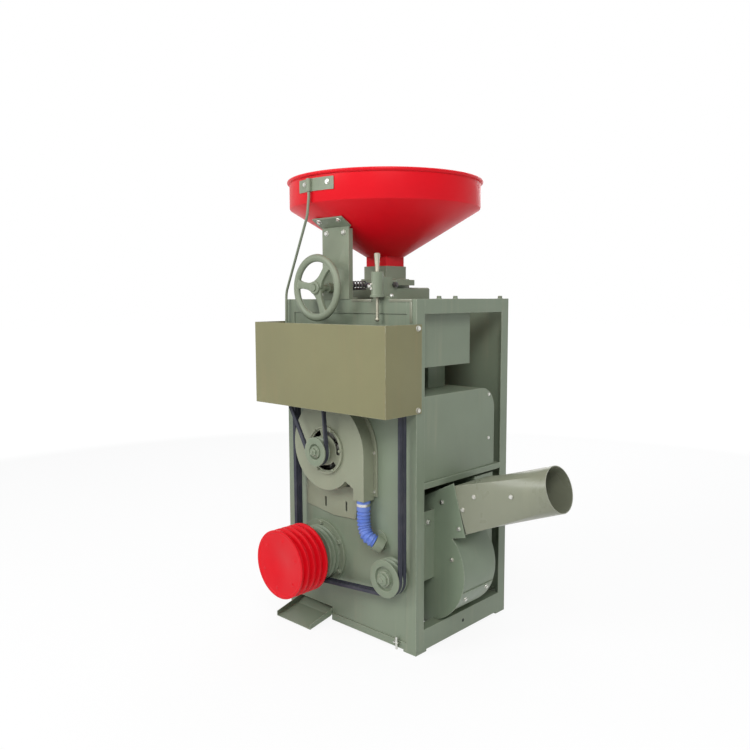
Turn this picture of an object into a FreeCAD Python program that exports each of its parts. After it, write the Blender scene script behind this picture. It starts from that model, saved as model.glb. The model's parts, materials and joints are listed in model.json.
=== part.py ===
"""Combined rice huller and polisher: a belt-driven machine in a sheet steel cabinet.

Paddy falls from the round hopper between two rubber rolls, the husk is drawn off by the
fan at the right, and the brown rice goes down to the polishing mill behind the big pulley.
Origin: centre of the cabinet's footprint on the floor. X to the right, Y to the back, Z up.
"""
import FreeCAD, Part
import math
import os

V = FreeCAD.Vector
SEAT = 0.3            # gap left where a curved or loose face rests on its neighbour
RUN = 0.05            # radial clearance of a shaft in its bore

# --- cabinet -------------------------------------------------------------------------
CABINET_WIDTH = 685.0
CABINET_DEPTH = 565.0
CABINET_HEIGHT = 1280.0
POST_LEG = 45.0
POST_T = 4.0
FOOT_SIZE = 60.0
FOOT_T = 8.0
FOOT_HOLE_R = 6.0
FOOT_HOLE_INSET = 30.0
TOP_RAIL_H = 52.0
BASE_RAIL_TOP = 85.0
FRONT_RAIL_TOP = 36.0
SHELF_Z = 627.0
SHELF_H = 22.0
CROSS_BAR_TOP = 48.0
PANEL_T = 2.0
PANEL_GAP = 0.5

# Faces of the cabinet, from which the places below are counted.
LEFT, RIGHT = -CABINET_WIDTH / 2, CABINET_WIDTH / 2
FRONT, BACK = -CABINET_DEPTH / 2, CABINET_DEPTH / 2
TOP = CABINET_HEIGHT
PANEL_FRONT = FRONT + POST_T          # outer face of the front panel
PANEL_INNER = PANEL_FRONT + PANEL_T

# --- main shaft and its pulleys --------------------------------------------------------
MAIN_X, MAIN_Z = LEFT + 200.5, 282.0
MAIN_SHAFT_R = 25.0
MAIN_SHAFT_BACK = BACK - 46.5
DRIVE_PULLEY_R = 131.0
DRIVE_PULLEY_FRONT = FRONT - 226.5
DRIVE_GROOVES = 4
DRIVE_PITCH = 30.5
DRIVE_RIB = 8.0
DRIVE_GROOVE_TOP = 22.0
DRIVE_GROOVE_DEPTH = 19.0
DRIVE_FACE_T = 14.0
MAIN_PULLEY_R = 108.0
HOUSING_FLANGE_R = 128.0
HOUSING_FLANGE_T = 12.0
HOUSING_TUBE_R = 62.0

# --- belts -----------------------------------------------------------------------------
BELT_Y = FRONT - 35.5
BELT_SPACING = 21.0
BELT_TOP_W = 16.0
BELT_T = 11.0
BELT_SINK = 0.5       # the belt's back lies this far under the pulley's rim
GROOVE_TOP_W = 17.0
GROOVE_DEPTH = 14.0
GROOVE_HALF_ANGLE = math.radians(18.0)
PULLEY_CHEEK = 6.0    # rim left beside the outer grooves
BLOWER_BELT_Y = FRONT - 102.5

# --- fan --------------------------------------------------------------------------------
FAN_X, FAN_Z = RIGHT - 99.5, 280.0
FAN_PULLEY_R = 69.0
FAN_SHAFT_R = 15.0
FAN_WIDTH = 210.0
FAN_FRONT = FRONT + 152.5
FAN_BACK = FAN_FRONT + FAN_WIDTH
FAN_BAR_Y = (FAN_FRONT + FAN_BACK) / 2
FAN_WHEEL_R = 158.0
FAN_SHEET = 3.0
FAN_FLANGE_LIP = 11.0
FAN_EYE_R = 85.0
FAN_SCROLL_R = 192.0
FAN_SCROLL_STEP = 14.0
FAN_TONGUE = (FAN_X + 147.0, FAN_Z + 133.0)
FAN_OUTLET_TOP = (FAN_X + 149.0, FAN_Z + 326.0)
FAN_OUTLET_LOW = (FAN_X + 204.0, FAN_Z + 157.0)
FAN_THROW_ANGLE = math.radians(117.0)
MOUTH_R = 82.5
MOUTH_CENTRE = (FAN_X + 512.0, FAN_FRONT + 110.0, FAN_Z + 356.0)
SUCTION_X0, SUCTION_X1 = FAN_X - 93.0, FAN_X + 89.0
SUCTION_NECK_X1 = FAN_X + 53.0
FAN_BRACKET_X = FAN_X + 57.0
FAN_BRACKET_Z0, FAN_BRACKET_Z1 = FAN_Z - 35.0, FAN_Z + 225.0
FAN_BRACKET_T = 4.0

# --- rubber roll husker ---------------------------------------------------------------------
FIXED_X, FIXED_Z = MAIN_X - 23.0, TOP - 233.0
ROLL_R = 76.0
ROLL_GAP = 1.0
ROLL_TILT = math.radians(27.0)
ROLL_CORE_R = 56.0
ROLL_SHAFT_R = 17.5
MOVING_SHAFT_R = 15.0
ROLL_PULLEY_R = 90.0
BLOWER_DRIVE_R = 130.0
GEAR_MODULE = 4.0
FIXED_TEETH, MOVING_TEETH = 34, 42
CASING_X0, CASING_X1 = FIXED_X - 97.0, FIXED_X + 225.0
CASING_Y0, CASING_Y1 = FRONT + 130.5, BACK - 137.5
CASING_Z1 = TOP - 40.0
CHEEK_T = 12.0
CASING_SIDE_T = 4.0
ROLL_FRONT, ROLL_BACK = CASING_Y0 + 48.0, CASING_Y1 - 49.0
GEAR_FRONT, GEAR_BACK = CASING_Y0 - 58.0, CASING_Y0 - 34.0
ARM_PIVOT_DISTANCE = 130.0
ARM_SLEEVE_R = 18.0
ARM_FRONT, ARM_BACK = CASING_Y0 - 82.0, CASING_Y0 - 66.0
REAR_ARM_FRONT, REAR_ARM_BACK = CASING_Y1 + 27.0, CASING_Y1 + 41.0
COVER_X0 = FIXED_X + 25.0
COVER_TOP = TOP + 45.0
COVER_WALL = 5.0
IDLER_X, IDLER_Z = FAN_X + 3.0, FIXED_Z - 7.0
IDLER_R = 66.0
IDLER_PIN_R = 12.0

# --- blower ------------------------------------------------------------------------------
BLOWER_X = MAIN_X + 85.0
BLOWER_Z = (MAIN_Z + FIXED_Z) / 2 + 45.5
BLOWER_SHAFT_R = 10.0
BLOWER_PULLEY_R = 55.0
BLOWER_PLATE_T = 6.0
BLOWER_BACK = PANEL_FRONT - BLOWER_PLATE_T
BLOWER_DEPTH = 55.5
BLOWER_FRONT = BLOWER_BACK - BLOWER_DEPTH
BLOWER_R = 196.0
BLOWER_STEP = 14.0
BLOWER_WALL = 4.0
BLOWER_LIP = 15.0
BLOWER_OUTLET_X0, BLOWER_OUTLET_X1 = BLOWER_X + 143.0, BLOWER_X + 197.0
BLOWER_OUTLET_Z = BLOWER_Z - 170.0
BLOWER_FOOT_Z = MAIN_Z + HOUSING_FLANGE_R + 30.0
BLOWER_COVER_R = 92.0
BLOWER_WHEEL_R = 128.0
HOSE_R = 26.0
HOSE_BEND = 34.0
HOSE_SPIGOT = 26.0
HOSE_END = (BLOWER_X + 223.0, (BLOWER_OUTLET_Z + FAN_Z) / 2 - 18.0)
HOSE_END_Y = FRONT - 23.5
AIR_PIPE_R = 22.0
AIR_PIPE_Y = FRONT + 44.5

# --- hopper ------------------------------------------------------------------------------------
HOPPER_X, HOPPER_Y = FIXED_X + 131.0, CASING_Y0 + 121.0
HOPPER_SHEET = 2.0
HOPPER_R = 375.0
RIM_BEAD_R = 6.5
RIM_Z = TOP + 448.5
BAND_Z = TOP + 347.0
CONE_END_R = 74.2
CONE_END_Z = TOP + 166.0
NECK_SIZE = 105.0
NECK_BOTTOM = TOP + 82.0
COLLAR_SIZE = 118.0
COLLAR_TOP = TOP + 128.0
COLLAR_FLANGE = 136.0
GATE_Z = TOP + 70.3
GATE_T = 4.0
GATE_WIDTH = 108.0
GATE_X0, GATE_X1 = HOPPER_X - 58.0, HOPPER_X + 108.0
THROAT_BORE = 100.0

# --- handwheel, cast post and stays -------------------------------------------------------------
WHEEL_X, WHEEL_Z = FIXED_X + 87.0, TOP + 42.0
WHEEL_Y = FRONT - 77.5
WHEEL_R = 114.0
WHEEL_RIM_R = 11.0
WHEEL_SHAFT_R = 12.0
ECCENTRIC_R = 15.0
ECCENTRIC_THROW = 4.0
ECCENTRIC_REST = math.radians(-45.0)
FORK_GAP = 0.35
FORK_HALF = 27.0
FORK_REACH = 28.0
BRACKET_X0, BRACKET_X1 = WHEEL_X - 47.0, WHEEL_X + 96.0
BRACKET_Y = FRONT - 3.5
BRACKET_T = 5.0
POST_X, POST_Y = HOPPER_X + 208.0, FRONT - 17.5
POST_R = 22.0
POST_BOTTOM, POST_TOP = TOP + 7.0, TOP + 96.0
PIN_R = 5.0
PIN_END_Z = TOP - 73.0
PIN_KNOB_TOP = TOP + 163.0
TIE_Y, TIE_Z = (ARM_FRONT + ARM_BACK) / 2, TOP + 51.0
TIE_R = 6.0
TIE_LUG_X = HOPPER_X
TIE_HOLE_R = 12.0
STAY_R = 5.0
CLIP_T = 3.0
CLIP_Z0, CLIP_Z1 = TOP + 387.0, TOP + 432.0
CLIP_HALF_ANGLE = math.radians(13.8)
STAY_X = HOPPER_X - 21.0

# --- belt guard ----------------------------------------------------------------------------------
GUARD_FRONT = FRONT - 161.5
GUARD_REAR = FRONT + 26.5
GUARD_Z0, GUARD_Z1 = TOP - 400.0, TOP - 87.0
GUARD_T = 2.0

# --- polishing mill behind the front panel -----------------------------------------------------------
GATE_PIN_R = 5.0
GATE_LEVER = 88.0
MILL_R = 80.0
MILL_WALL = 7.0
MILL_FRONT, MILL_BACK = FRONT + 82.5, BACK - 92.5
MILL_BAR_Y = MILL_BACK - 40.0
FEED_Y0, FEED_Y1 = MILL_BACK - 86.0, MILL_BACK - 14.0
SCREEN_FRONT, SCREEN_BACK = MILL_FRONT + 70.0, MILL_BACK - 100.0
SCREEN_R = 62.0
SCREEN_T = 1.5
SCREEN_ROWS = 4
ROLLER_R = 52.0
CHUTE_X0, CHUTE_X1 = LEFT + POST_LEG + 1.5, MAIN_X + 46.0
CHUTE_LIP_Y = FRONT - 115.5

# --- separator and aspiration box -------------------------------------------------------------------------
SEPARATOR_X0, SEPARATOR_X1 = LEFT + 10.5, RIGHT - 8.5
SEPARATOR_Y0, SEPARATOR_Y1 = FRONT + 10.5, BACK - 77.5
SEPARATOR_TOP = TOP - 344.0
SEPARATOR_ROUND = 85.0
SEPARATOR_T = 3.0
CASING_Z0 = SEPARATOR_TOP + PANEL_GAP
ASPIRATION_X0, ASPIRATION_X1 = CASING_X1 + 7.0, RIGHT - 42.5
ASPIRATION_Y1 = FRONT + 366.5
ASPIRATION_Z0, ASPIRATION_Z1 = TOP - 246.0, TOP - 6.4

HALF_W = CABINET_WIDTH / 2
HALF_D = CABINET_DEPTH / 2


# --- plain helpers ----------------------------------------------------------------------------------
def box(x0, x1, y0, y1, z0, z1):
    """A block between two corners, given in any order."""
    low = V(min(x0, x1), min(y0, y1), min(z0, z1))
    return Part.makeBox(abs(x1 - x0), abs(y1 - y0), abs(z1 - z0), low)


def rod_x(radius, x0, x1, y, z):
    return Part.makeCylinder(radius, x1 - x0, V(x0, y, z), V(1, 0, 0))


def rod_y(radius, x, z, y0, y1):
    return Part.makeCylinder(radius, y1 - y0, V(x, y0, z), V(0, 1, 0))


def rod_z(radius, x, y, z0, z1):
    return Part.makeCylinder(radius, z1 - z0, V(x, y, z0), V(0, 0, 1))


def ring_y(outer, inner, x, z, y0, y1):
    return rod_y(outer, x, z, y0, y1).cut(rod_y(inner, x, z, y0 - 1, y1 + 1))


def prism_y(points, y0, y1):
    """A closed outline of (x, z) points, extruded along Y."""
    outline = Part.makePolygon([V(x, y0, z) for x, z in points + points[:1]])
    return Part.Face(outline).extrude(V(0, y1 - y0, 0))


def prism_x(points, x0, x1):
    """A closed outline of (y, z) points, extruded along X."""
    outline = Part.makePolygon([V(x0, y, z) for y, z in points + points[:1]])
    return Part.Face(outline).extrude(V(x1 - x0, 0, 0))


def turned_y(points, x, z):
    """A closed profile of (radius, y) points, turned about the Y axis through (x, z)."""
    outline = Part.makePolygon([V(x + r, y, z) for r, y in points + points[:1]])
    return Part.Face(outline).revolve(V(x, 0, z), V(0, 1, 0), 360)


def turned_z(points, x, y):
    """A closed profile of (radius, z) points, turned about the Z axis through (x, y)."""
    outline = Part.makePolygon([V(x + r, y, z) for r, z in points + points[:1]])
    return Part.Face(outline).revolve(V(x, y, 0), V(0, 0, 1), 360)


def fused(shapes):
    whole = shapes[0]
    if len(shapes) > 1:
        whole = whole.fuse(shapes[1:])
    return whole.removeSplitter()


def group(shapes):
    return Part.makeCompound(shapes)


def polar(x, z, radius, angle):
    """A point of the XZ plane, at an angle counted from +X towards +Z."""
    return (x + radius * math.cos(angle), z + radius * math.sin(angle))


# --- rails and panels -----------------------------------------------------------------------------------
def corner_post(side_x, side_y):
    x, y = side_x * HALF_W, side_y * HALF_D
    flange = box(x, x - side_x * POST_LEG, y, y - side_y * POST_T, FOOT_T, CABINET_HEIGHT)
    web = box(x, x - side_x * POST_T, y, y - side_y * POST_LEG, FOOT_T, CABINET_HEIGHT)
    foot = box(x, x - side_x * FOOT_SIZE, y, y - side_y * FOOT_SIZE, 0, FOOT_T)
    hole = rod_z(FOOT_HOLE_R, x - side_x * FOOT_HOLE_INSET, y - side_y * FOOT_HOLE_INSET, -1, FOOT_T + 1)
    return fused([flange, web, foot]).cut(hole)


def corner_posts():
    return group([corner_post(sx, sy) for sx in (-1, 1) for sy in (-1, 1)])


def cross_rail(side_y, z0, z1):
    """Angle between two posts along X, its lip folded inwards at the top."""
    x = HALF_W - POST_LEG
    y = side_y * HALF_D
    web = box(-x, x, y, y - side_y * POST_T, z0, z1)
    lip = box(-x, x, y, y - side_y * POST_LEG, z1 - POST_T, z1)
    return fused([web, lip])


def side_rail(side_x, z0, z1):
    y = HALF_D - POST_LEG
    x = side_x * HALF_W
    web = box(x, x - side_x * POST_T, -y, y, z0, z1)
    lip = box(x, x - side_x * POST_LEG, -y, y, z1 - POST_T, z1)
    return fused([web, lip])


def cross_bar(y):
    """Channel laid across between the side rails."""
    x = HALF_W - POST_T
    bar = box(-x, x, y - 20, y + 20, FOOT_T, CROSS_BAR_TOP)
    return bar.cut(box(-x - 1, x + 1, y - 17, y + 17, FOOT_T - 1, CROSS_BAR_TOP - POST_T))


def frame_rails():
    """Top, shelf and base angles between the posts, and the bars under mill and fan.

    The base rail in front is notched for the rice chute.
    """
    z0 = CABINET_HEIGHT - TOP_RAIL_H
    rails = [cross_rail(s, z0, CABINET_HEIGHT) for s in (-1, 1)]
    rails += [side_rail(s, z0, CABINET_HEIGHT) for s in (-1, 1)]
    rails += [side_rail(s, SHELF_Z - SHELF_H, SHELF_Z) for s in (-1, 1)]
    notch = box(CHUTE_X0 - 1.5, CHUTE_X1 + 1.5, -HALF_D - 1, -HALF_D + POST_LEG + 1, 0, FRONT_RAIL_TOP + 1)
    front = cross_rail(-1, FOOT_T, FRONT_RAIL_TOP).cut(notch)
    rails += [front, cross_rail(1, FOOT_T, BASE_RAIL_TOP)]
    rails += [side_rail(s, FOOT_T, BASE_RAIL_TOP) for s in (-1, 1)]
    return group(rails + [cross_bar(MILL_BAR_Y), cross_bar(FAN_BAR_Y)])


def front_panel():
    x = HALF_W - POST_T - PANEL_GAP
    top = CABINET_HEIGHT - POST_T - PANEL_GAP
    sheet = box(-x, x, PANEL_FRONT, PANEL_INNER, FRONT_RAIL_TOP + SEAT, top)
    y0, y1 = PANEL_FRONT - 1, PANEL_INNER + 1
    holes = [
        rod_y(HOUSING_TUBE_R + SEAT, MAIN_X, MAIN_Z, y0, y1),
        rod_y(FAN_SHAFT_R + 6, FAN_X, FAN_Z, y0, y1),
        rod_y(ROLL_SHAFT_R + 6, FIXED_X, FIXED_Z, y0, y1),
        rod_y(AIR_PIPE_R + 1, HOSE_END[0], HOSE_END[1], y0, y1),
        box(CHUTE_X0 - 1.5, CHUTE_X1 + 1.5, y0, y1, 0, 60),
    ]
    return sheet.cut(holes)


def closing_panels():
    """Sheets at the back and, above and below the shelf, at the left; the right side is open."""
    x = HALF_W - POST_T - PANEL_GAP
    z0, z1 = BASE_RAIL_TOP + SEAT, CABINET_HEIGHT - POST_T - PANEL_GAP
    rear = box(-x, x, -PANEL_INNER, -PANEL_FRONT, z0, z1)
    left = -HALF_W + POST_T
    y = HALF_D - POST_T - PANEL_T - 2 * PANEL_GAP
    lower = box(left, left + PANEL_T, -y, y, z0, SHELF_Z - POST_T - SEAT)
    upper = box(left, left + PANEL_T, -y, y, SHELF_Z + SEAT, z1)
    return group([rear, lower, upper])


def belt_guard():
    """Folded sheet with a front and two cheeks, open above and below."""
    x = HALF_W + GUARD_T + SEAT
    outside = box(-x, x, GUARD_FRONT, GUARD_REAR, GUARD_Z0, GUARD_Z1)
    inside = box(-x + GUARD_T, x - GUARD_T, GUARD_FRONT + GUARD_T, GUARD_REAR + 1, GUARD_Z0 - 1, GUARD_Z1 + 1)
    return outside.cut(inside)


# --- pulleys, belts and bearings ----------------------------------------------------------------------------
def pulley_profile(rim_r, bore_r, grooves, top_w, depth, y0, y1):
    """Half section of a V-belt pulley, as (radius, y) points."""
    slope = math.tan(GROOVE_HALF_ANGLE)
    points = [(bore_r, y0), (rim_r, y0)]
    for y in grooves:
        bottom = top_w / 2 - depth * slope
        points += [(rim_r, y - top_w / 2), (rim_r - depth, y - bottom)]
        points += [(rim_r - depth, y + bottom), (rim_r, y + top_w / 2)]
    return points + [(rim_r, y1), (bore_r, y1)]


def main_grooves():
    return [BELT_Y - BELT_SPACING / 2, BELT_Y + BELT_SPACING / 2]


def two_groove_pulley(x, z, rim_r, bore_r, dish_r):
    """Pulley for the pair of main belts, dished in front round its hub."""
    half = BELT_SPACING / 2 + GROOVE_TOP_W / 2 + PULLEY_CHEEK
    y0, y1 = BELT_Y - half, BELT_Y + half
    body = turned_y(pulley_profile(rim_r, bore_r, main_grooves(), GROOVE_TOP_W, GROOVE_DEPTH, y0, y1), x, z)
    dish = ring_y(dish_r, bore_r + 10, x, z, y0 - 1, y0 + 12)
    return body.cut(dish)


def one_groove_pulley(x, z, rim_r, bore_r, dish_r):
    half = GROOVE_TOP_W / 2 + PULLEY_CHEEK
    y0, y1 = BLOWER_BELT_Y - half, BLOWER_BELT_Y + half
    body = turned_y(pulley_profile(rim_r, bore_r, [BLOWER_BELT_Y], GROOVE_TOP_W, GROOVE_DEPTH, y0, y1), x, z)
    if dish_r:
        body = body.cut(ring_y(dish_r, bore_r + 12, x, z, y0 - 1, y0 + 9))
    return body


def pulley_faces():
    half = BELT_SPACING / 2 + GROOVE_TOP_W / 2 + PULLEY_CHEEK
    return BELT_Y - half, BELT_Y + half


def belt_section(x, z, n, radius, y):
    """Trapezoid of a V-belt whose back lies at the given radius along direction n."""
    half = BELT_TOP_W / 2
    low = half - BELT_T * math.tan(GROOVE_HALF_ANGLE)
    corners = [(radius, -half), (radius, half), (radius - BELT_T, low), (radius - BELT_T, -low)]
    points = [V(x + r * n[0], y + dy, z + r * n[1]) for r, dy in corners]
    return Part.Face(Part.makePolygon(points + points[:1]))


def tangent_normal(a, b):
    """Outward normal of the belt run from pulley a to pulley b, taken anticlockwise."""
    dx, dz = b[0] - a[0], b[1] - a[1]
    span = math.hypot(dx, dz)
    dx, dz = dx / span, dz / span
    along = (a[2] - b[2]) / span
    across = math.sqrt(1 - along * along)
    return (dx * along + dz * across, dz * along - dx * across)


def v_belt(pulleys, y):
    """Endless belt round (x, z, rim radius) pulleys in anticlockwise order."""
    count = len(pulleys)
    normals = [tangent_normal(pulleys[i], pulleys[(i + 1) % count]) for i in range(count)]
    pieces = []
    for i, (x, z, rim) in enumerate(pulleys):
        radius = rim - BELT_SINK
        start, end = normals[i - 1], normals[i]
        turn = math.atan2(end[1], end[0]) - math.atan2(start[1], start[0])
        turn = math.degrees(turn) % 360
        section = belt_section(x, z, start, radius, y)
        pieces.append(section.revolve(V(x, 0, z), V(0, -1, 0), turn))
        nx, nz, next_rim = pulleys[(i + 1) % count]
        next_radius = next_rim - BELT_SINK
        run = V(nx + next_radius * end[0] - x - radius * end[0], 0,
                nz + next_radius * end[1] - z - radius * end[1])
        pieces.append(belt_section(x, z, end, radius, y).extrude(run))
    return fused(pieces)


def main_belts():
    loop = [(MAIN_X, MAIN_Z, MAIN_PULLEY_R), (FAN_X, FAN_Z, FAN_PULLEY_R),
            (IDLER_X, IDLER_Z, IDLER_R), (FIXED_X, FIXED_Z, ROLL_PULLEY_R)]
    return group([v_belt(loop, y) for y in main_grooves()])


def blower_belt():
    loop = [(BLOWER_X, BLOWER_Z, BLOWER_PULLEY_R), (FIXED_X, FIXED_Z, BLOWER_DRIVE_R)]
    return v_belt(loop, BLOWER_BELT_Y)


def bearing_unit(x, z, shaft_r, y0, y1, flange_at_back):
    """Round flange bearing: a bolted disc and a boss with the shaft's bore."""
    flange_r, boss_r, flange_t = shaft_r * 2.9, shaft_r * 1.9, 8.0
    bore = rod_y(shaft_r + RUN, x, z, y0 - 1, y1 + 1)
    if flange_at_back:
        flange = rod_y(flange_r, x, z, y1 - flange_t, y1)
    else:
        flange = rod_y(flange_r, x, z, y0, y0 + flange_t)
    return fused([flange, rod_y(boss_r, x, z, y0, y1)]).cut(bore)


def flange_bearings():
    """Fan and fixed roll bearings, at the panel, the fan's side, and behind the husker casing."""
    back = PANEL_INNER + 27
    return group([
        bearing_unit(FAN_X, FAN_Z, FAN_SHAFT_R, PANEL_INNER, back, False),
        bearing_unit(FAN_X, FAN_Z, FAN_SHAFT_R, FAN_FRONT - FAN_SHEET - 25, FAN_FRONT - FAN_SHEET, True),
        bearing_unit(FIXED_X, FIXED_Z, ROLL_SHAFT_R, PANEL_INNER, back, False),
        bearing_unit(FIXED_X, FIXED_Z, ROLL_SHAFT_R, CASING_Y1, CASING_Y1 + 26, False),
    ])


# --- main shaft body --------------------------------------------------------------------------------------------
def main_shaft():
    front = DRIVE_PULLEY_FRONT + DRIVE_FACE_T
    return rod_y(MAIN_SHAFT_R, MAIN_X, MAIN_Z, front, MAIN_SHAFT_BACK)


def drive_pulley():
    """Four-groove pulley with a closed, slightly dished front and a hub behind."""
    length = DRIVE_PITCH * DRIVE_GROOVES + DRIVE_RIB
    y0, y1 = DRIVE_PULLEY_FRONT, DRIVE_PULLEY_FRONT + length
    first = y0 + (DRIVE_RIB + DRIVE_PITCH) / 2
    grooves = [first + i * DRIVE_PITCH for i in range(DRIVE_GROOVES)]
    profile = pulley_profile(DRIVE_PULLEY_R, 0, grooves, DRIVE_GROOVE_TOP, DRIVE_GROOVE_DEPTH, y0, y1)
    body = turned_y(profile, MAIN_X, MAIN_Z)
    bore = rod_y(MAIN_SHAFT_R + RUN, MAIN_X, MAIN_Z, y0 + DRIVE_FACE_T - SEAT, y1 + 1)
    dish = rod_y(DRIVE_PULLEY_R - 9, MAIN_X, MAIN_Z, y0 - 1, y0 + 2.5)
    hollow = ring_y(DRIVE_PULLEY_R - DRIVE_GROOVE_DEPTH - 9, MAIN_SHAFT_R + 22, MAIN_X, MAIN_Z, y0 + DRIVE_FACE_T + 4, y1 + 1)
    return body.cut([bore, dish, hollow])


def main_pulley():
    return two_groove_pulley(MAIN_X, MAIN_Z, MAIN_PULLEY_R, MAIN_SHAFT_R + RUN, MAIN_PULLEY_R - 26)


def milling_roller():
    """Ribbed polishing roller with a feed screw behind it, keyed on the shaft."""
    barrel = rod_y(ROLLER_R - 6, MAIN_X, MAIN_Z, SCREEN_FRONT, MILL_BACK - 12)
    ribs = []
    for k in range(4):
        rib = box(-5, 5, SCREEN_FRONT, SCREEN_BACK - 8, ROLLER_R - 10, ROLLER_R)
        rib.rotate(V(0, 0, 0), V(0, 1, 0), 90 * k)
        rib.translate(V(MAIN_X, 0, MAIN_Z))
        ribs.append(rib)
    flights = [turned_y([(ROLLER_R - 8, y), (ROLLER_R + 4, y + 3), (ROLLER_R + 4, y + 8), (ROLLER_R - 8, y + 11)],
                        MAIN_X, MAIN_Z) for y in (FEED_Y0, FEED_Y0 + 26, FEED_Y0 + 52)]
    bore = rod_y(MAIN_SHAFT_R + RUN, MAIN_X, MAIN_Z, SCREEN_FRONT - 1, MILL_BACK)
    return fused([barrel] + ribs + flights).cut(bore)


# --- polishing mill ----------------------------------------------------------------------------------------------
def bearing_housing():
    """Cast housing bolted to the panel: flange, tube and the two bearing seats."""
    flange = rod_y(HOUSING_FLANGE_R, MAIN_X, MAIN_Z, PANEL_FRONT - HOUSING_FLANGE_T, PANEL_FRONT)
    collar = rod_y(HOUSING_FLANGE_R - 22, MAIN_X, MAIN_Z, PANEL_FRONT - HOUSING_FLANGE_T - 1.5, PANEL_FRONT)
    tube = rod_y(HOUSING_TUBE_R, MAIN_X, MAIN_Z, PANEL_FRONT, MILL_FRONT)
    hollow = rod_y(MAIN_SHAFT_R + 14, MAIN_X, MAIN_Z, PANEL_FRONT + 12, MILL_FRONT - 22)
    bore = rod_y(MAIN_SHAFT_R + RUN, MAIN_X, MAIN_Z, PANEL_FRONT - 30, MILL_FRONT + 1)
    return fused([flange, collar, tube]).cut([hollow, bore])


def mill_body():
    """Cylindrical mill casing: outlet room in front, screen room, feed room behind."""
    shell = ring_y(MILL_R, MILL_R - MILL_WALL, MAIN_X, MAIN_Z, MILL_FRONT, MILL_BACK)
    ends = [ring_y(MILL_R, MAIN_SHAFT_R + 3, MAIN_X, MAIN_Z, MILL_FRONT, MILL_FRONT + MILL_WALL),
            ring_y(MILL_R, MAIN_SHAFT_R + RUN, MAIN_X, MAIN_Z, MILL_BACK - MILL_WALL, MILL_BACK)]
    rear_boss = ring_y(MAIN_SHAFT_R + 15, MAIN_SHAFT_R + RUN, MAIN_X, MAIN_Z, MILL_BACK, MILL_BACK + 30)
    inlet = box(MAIN_X - 52, MAIN_X + 52, FEED_Y0, FEED_Y1, MAIN_Z, MAIN_Z + MILL_R + 14)
    neck = inlet.cut(box(MAIN_X - 46, MAIN_X + 46, FEED_Y0 + 6, FEED_Y1 - 6, MAIN_Z - 1, MAIN_Z + MILL_R + 20))
    neck = neck.cut(rod_y(MILL_R - 1, MAIN_X, MAIN_Z, FEED_Y0 - 14, MILL_BACK))
    body = fused([shell] + ends + [rear_boss, neck] + gate_lugs())
    feed_hole = box(MAIN_X - 46, MAIN_X + 46, FEED_Y0 + 6, FEED_Y1 - 6, MAIN_Z, MAIN_Z + MILL_R + 20)
    bran_window = box(MAIN_X - 48, MAIN_X + 48, SCREEN_FRONT + 12, SCREEN_BACK - 12, MAIN_Z - MILL_R - 2, MAIN_Z)
    outlet = box(MAIN_X - 46, MAIN_X + 30, MILL_FRONT + 14, SCREEN_FRONT - 6, MAIN_Z - MILL_R - 2, MAIN_Z)
    screen_room = rod_y(MILL_R - MILL_WALL, MAIN_X, MAIN_Z, MILL_FRONT + MILL_WALL, MILL_BACK - MILL_WALL)
    body = body.cut([feed_hole.fuse(screen_room), bran_window, outlet])
    return group([body, mill_stand()])


def mill_screen():
    """Sheet drum round the roller, with rows of long slots that let the bran out."""
    flange = ring_y(MILL_R - MILL_WALL - SEAT, SCREEN_R - 1, MAIN_X, MAIN_Z, SCREEN_FRONT, SCREEN_FRONT + 4)
    back = ring_y(MILL_R - MILL_WALL - SEAT, SCREEN_R - 1, MAIN_X, MAIN_Z, SCREEN_BACK, SCREEN_BACK + 4)
    drum = ring_y(SCREEN_R + SCREEN_T, SCREEN_R, MAIN_X, MAIN_Z, SCREEN_FRONT, SCREEN_BACK + 4)
    slots = []
    pitch = (SCREEN_BACK - SCREEN_FRONT - 28) / SCREEN_ROWS
    for row in range(SCREEN_ROWS):
        y0 = SCREEN_FRONT + 16 + row * pitch
        for k in range(6):
            slot = box(-3, 3, y0, y0 + pitch - 12, SCREEN_R - 4, SCREEN_R + 5)
            slot.rotate(V(0, 0, 0), V(0, 1, 0), 60 * k + 30)
            slot.translate(V(MAIN_X, 0, MAIN_Z))
            slots.append(slot)
    return fused([flange, back, drum]).cut(slots)


def mill_stand():
    """Plate with a saddle under the mill's feed end, standing on the cabinet's cross bar."""
    y0, y1 = MILL_BAR_Y - 8, MILL_BAR_Y + 8
    outline = [(MAIN_X - 90, CROSS_BAR_TOP), (MAIN_X + 90, CROSS_BAR_TOP), (MAIN_X + 90, CROSS_BAR_TOP + 14),
               (MAIN_X + 62, MAIN_Z - 44), (MAIN_X - 62, MAIN_Z - 44), (MAIN_X - 90, CROSS_BAR_TOP + 14)]
    return prism_y(outline, y0, y1).cut(rod_y(MILL_R + SEAT, MAIN_X, MAIN_Z, y0 - 1, y1 + 1))


def outlet_gate():
    """Flap that holds the rice back in the mill, on a pin with a weighted lever."""
    y0, y1 = MILL_FRONT + 18, SCREEN_FRONT - 10
    x, z = gate_pivot()
    pin = rod_y(GATE_PIN_R, x, z, MILL_FRONT - 24, SCREEN_FRONT + 24)
    flap = box(x, MAIN_X + 26, y0, y1, z - 3, z + 1)
    lever = box(x - GATE_LEVER, x, MILL_FRONT - 22, MILL_FRONT - 14, z - 5, z + 5)
    weight = rod_y(20, x - GATE_LEVER, z, MILL_FRONT - 34, MILL_FRONT - 6)
    return fused([pin, flap, lever, weight])


def gate_pivot():
    return (MAIN_X - 62, MAIN_Z - MILL_R - 8)


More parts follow.
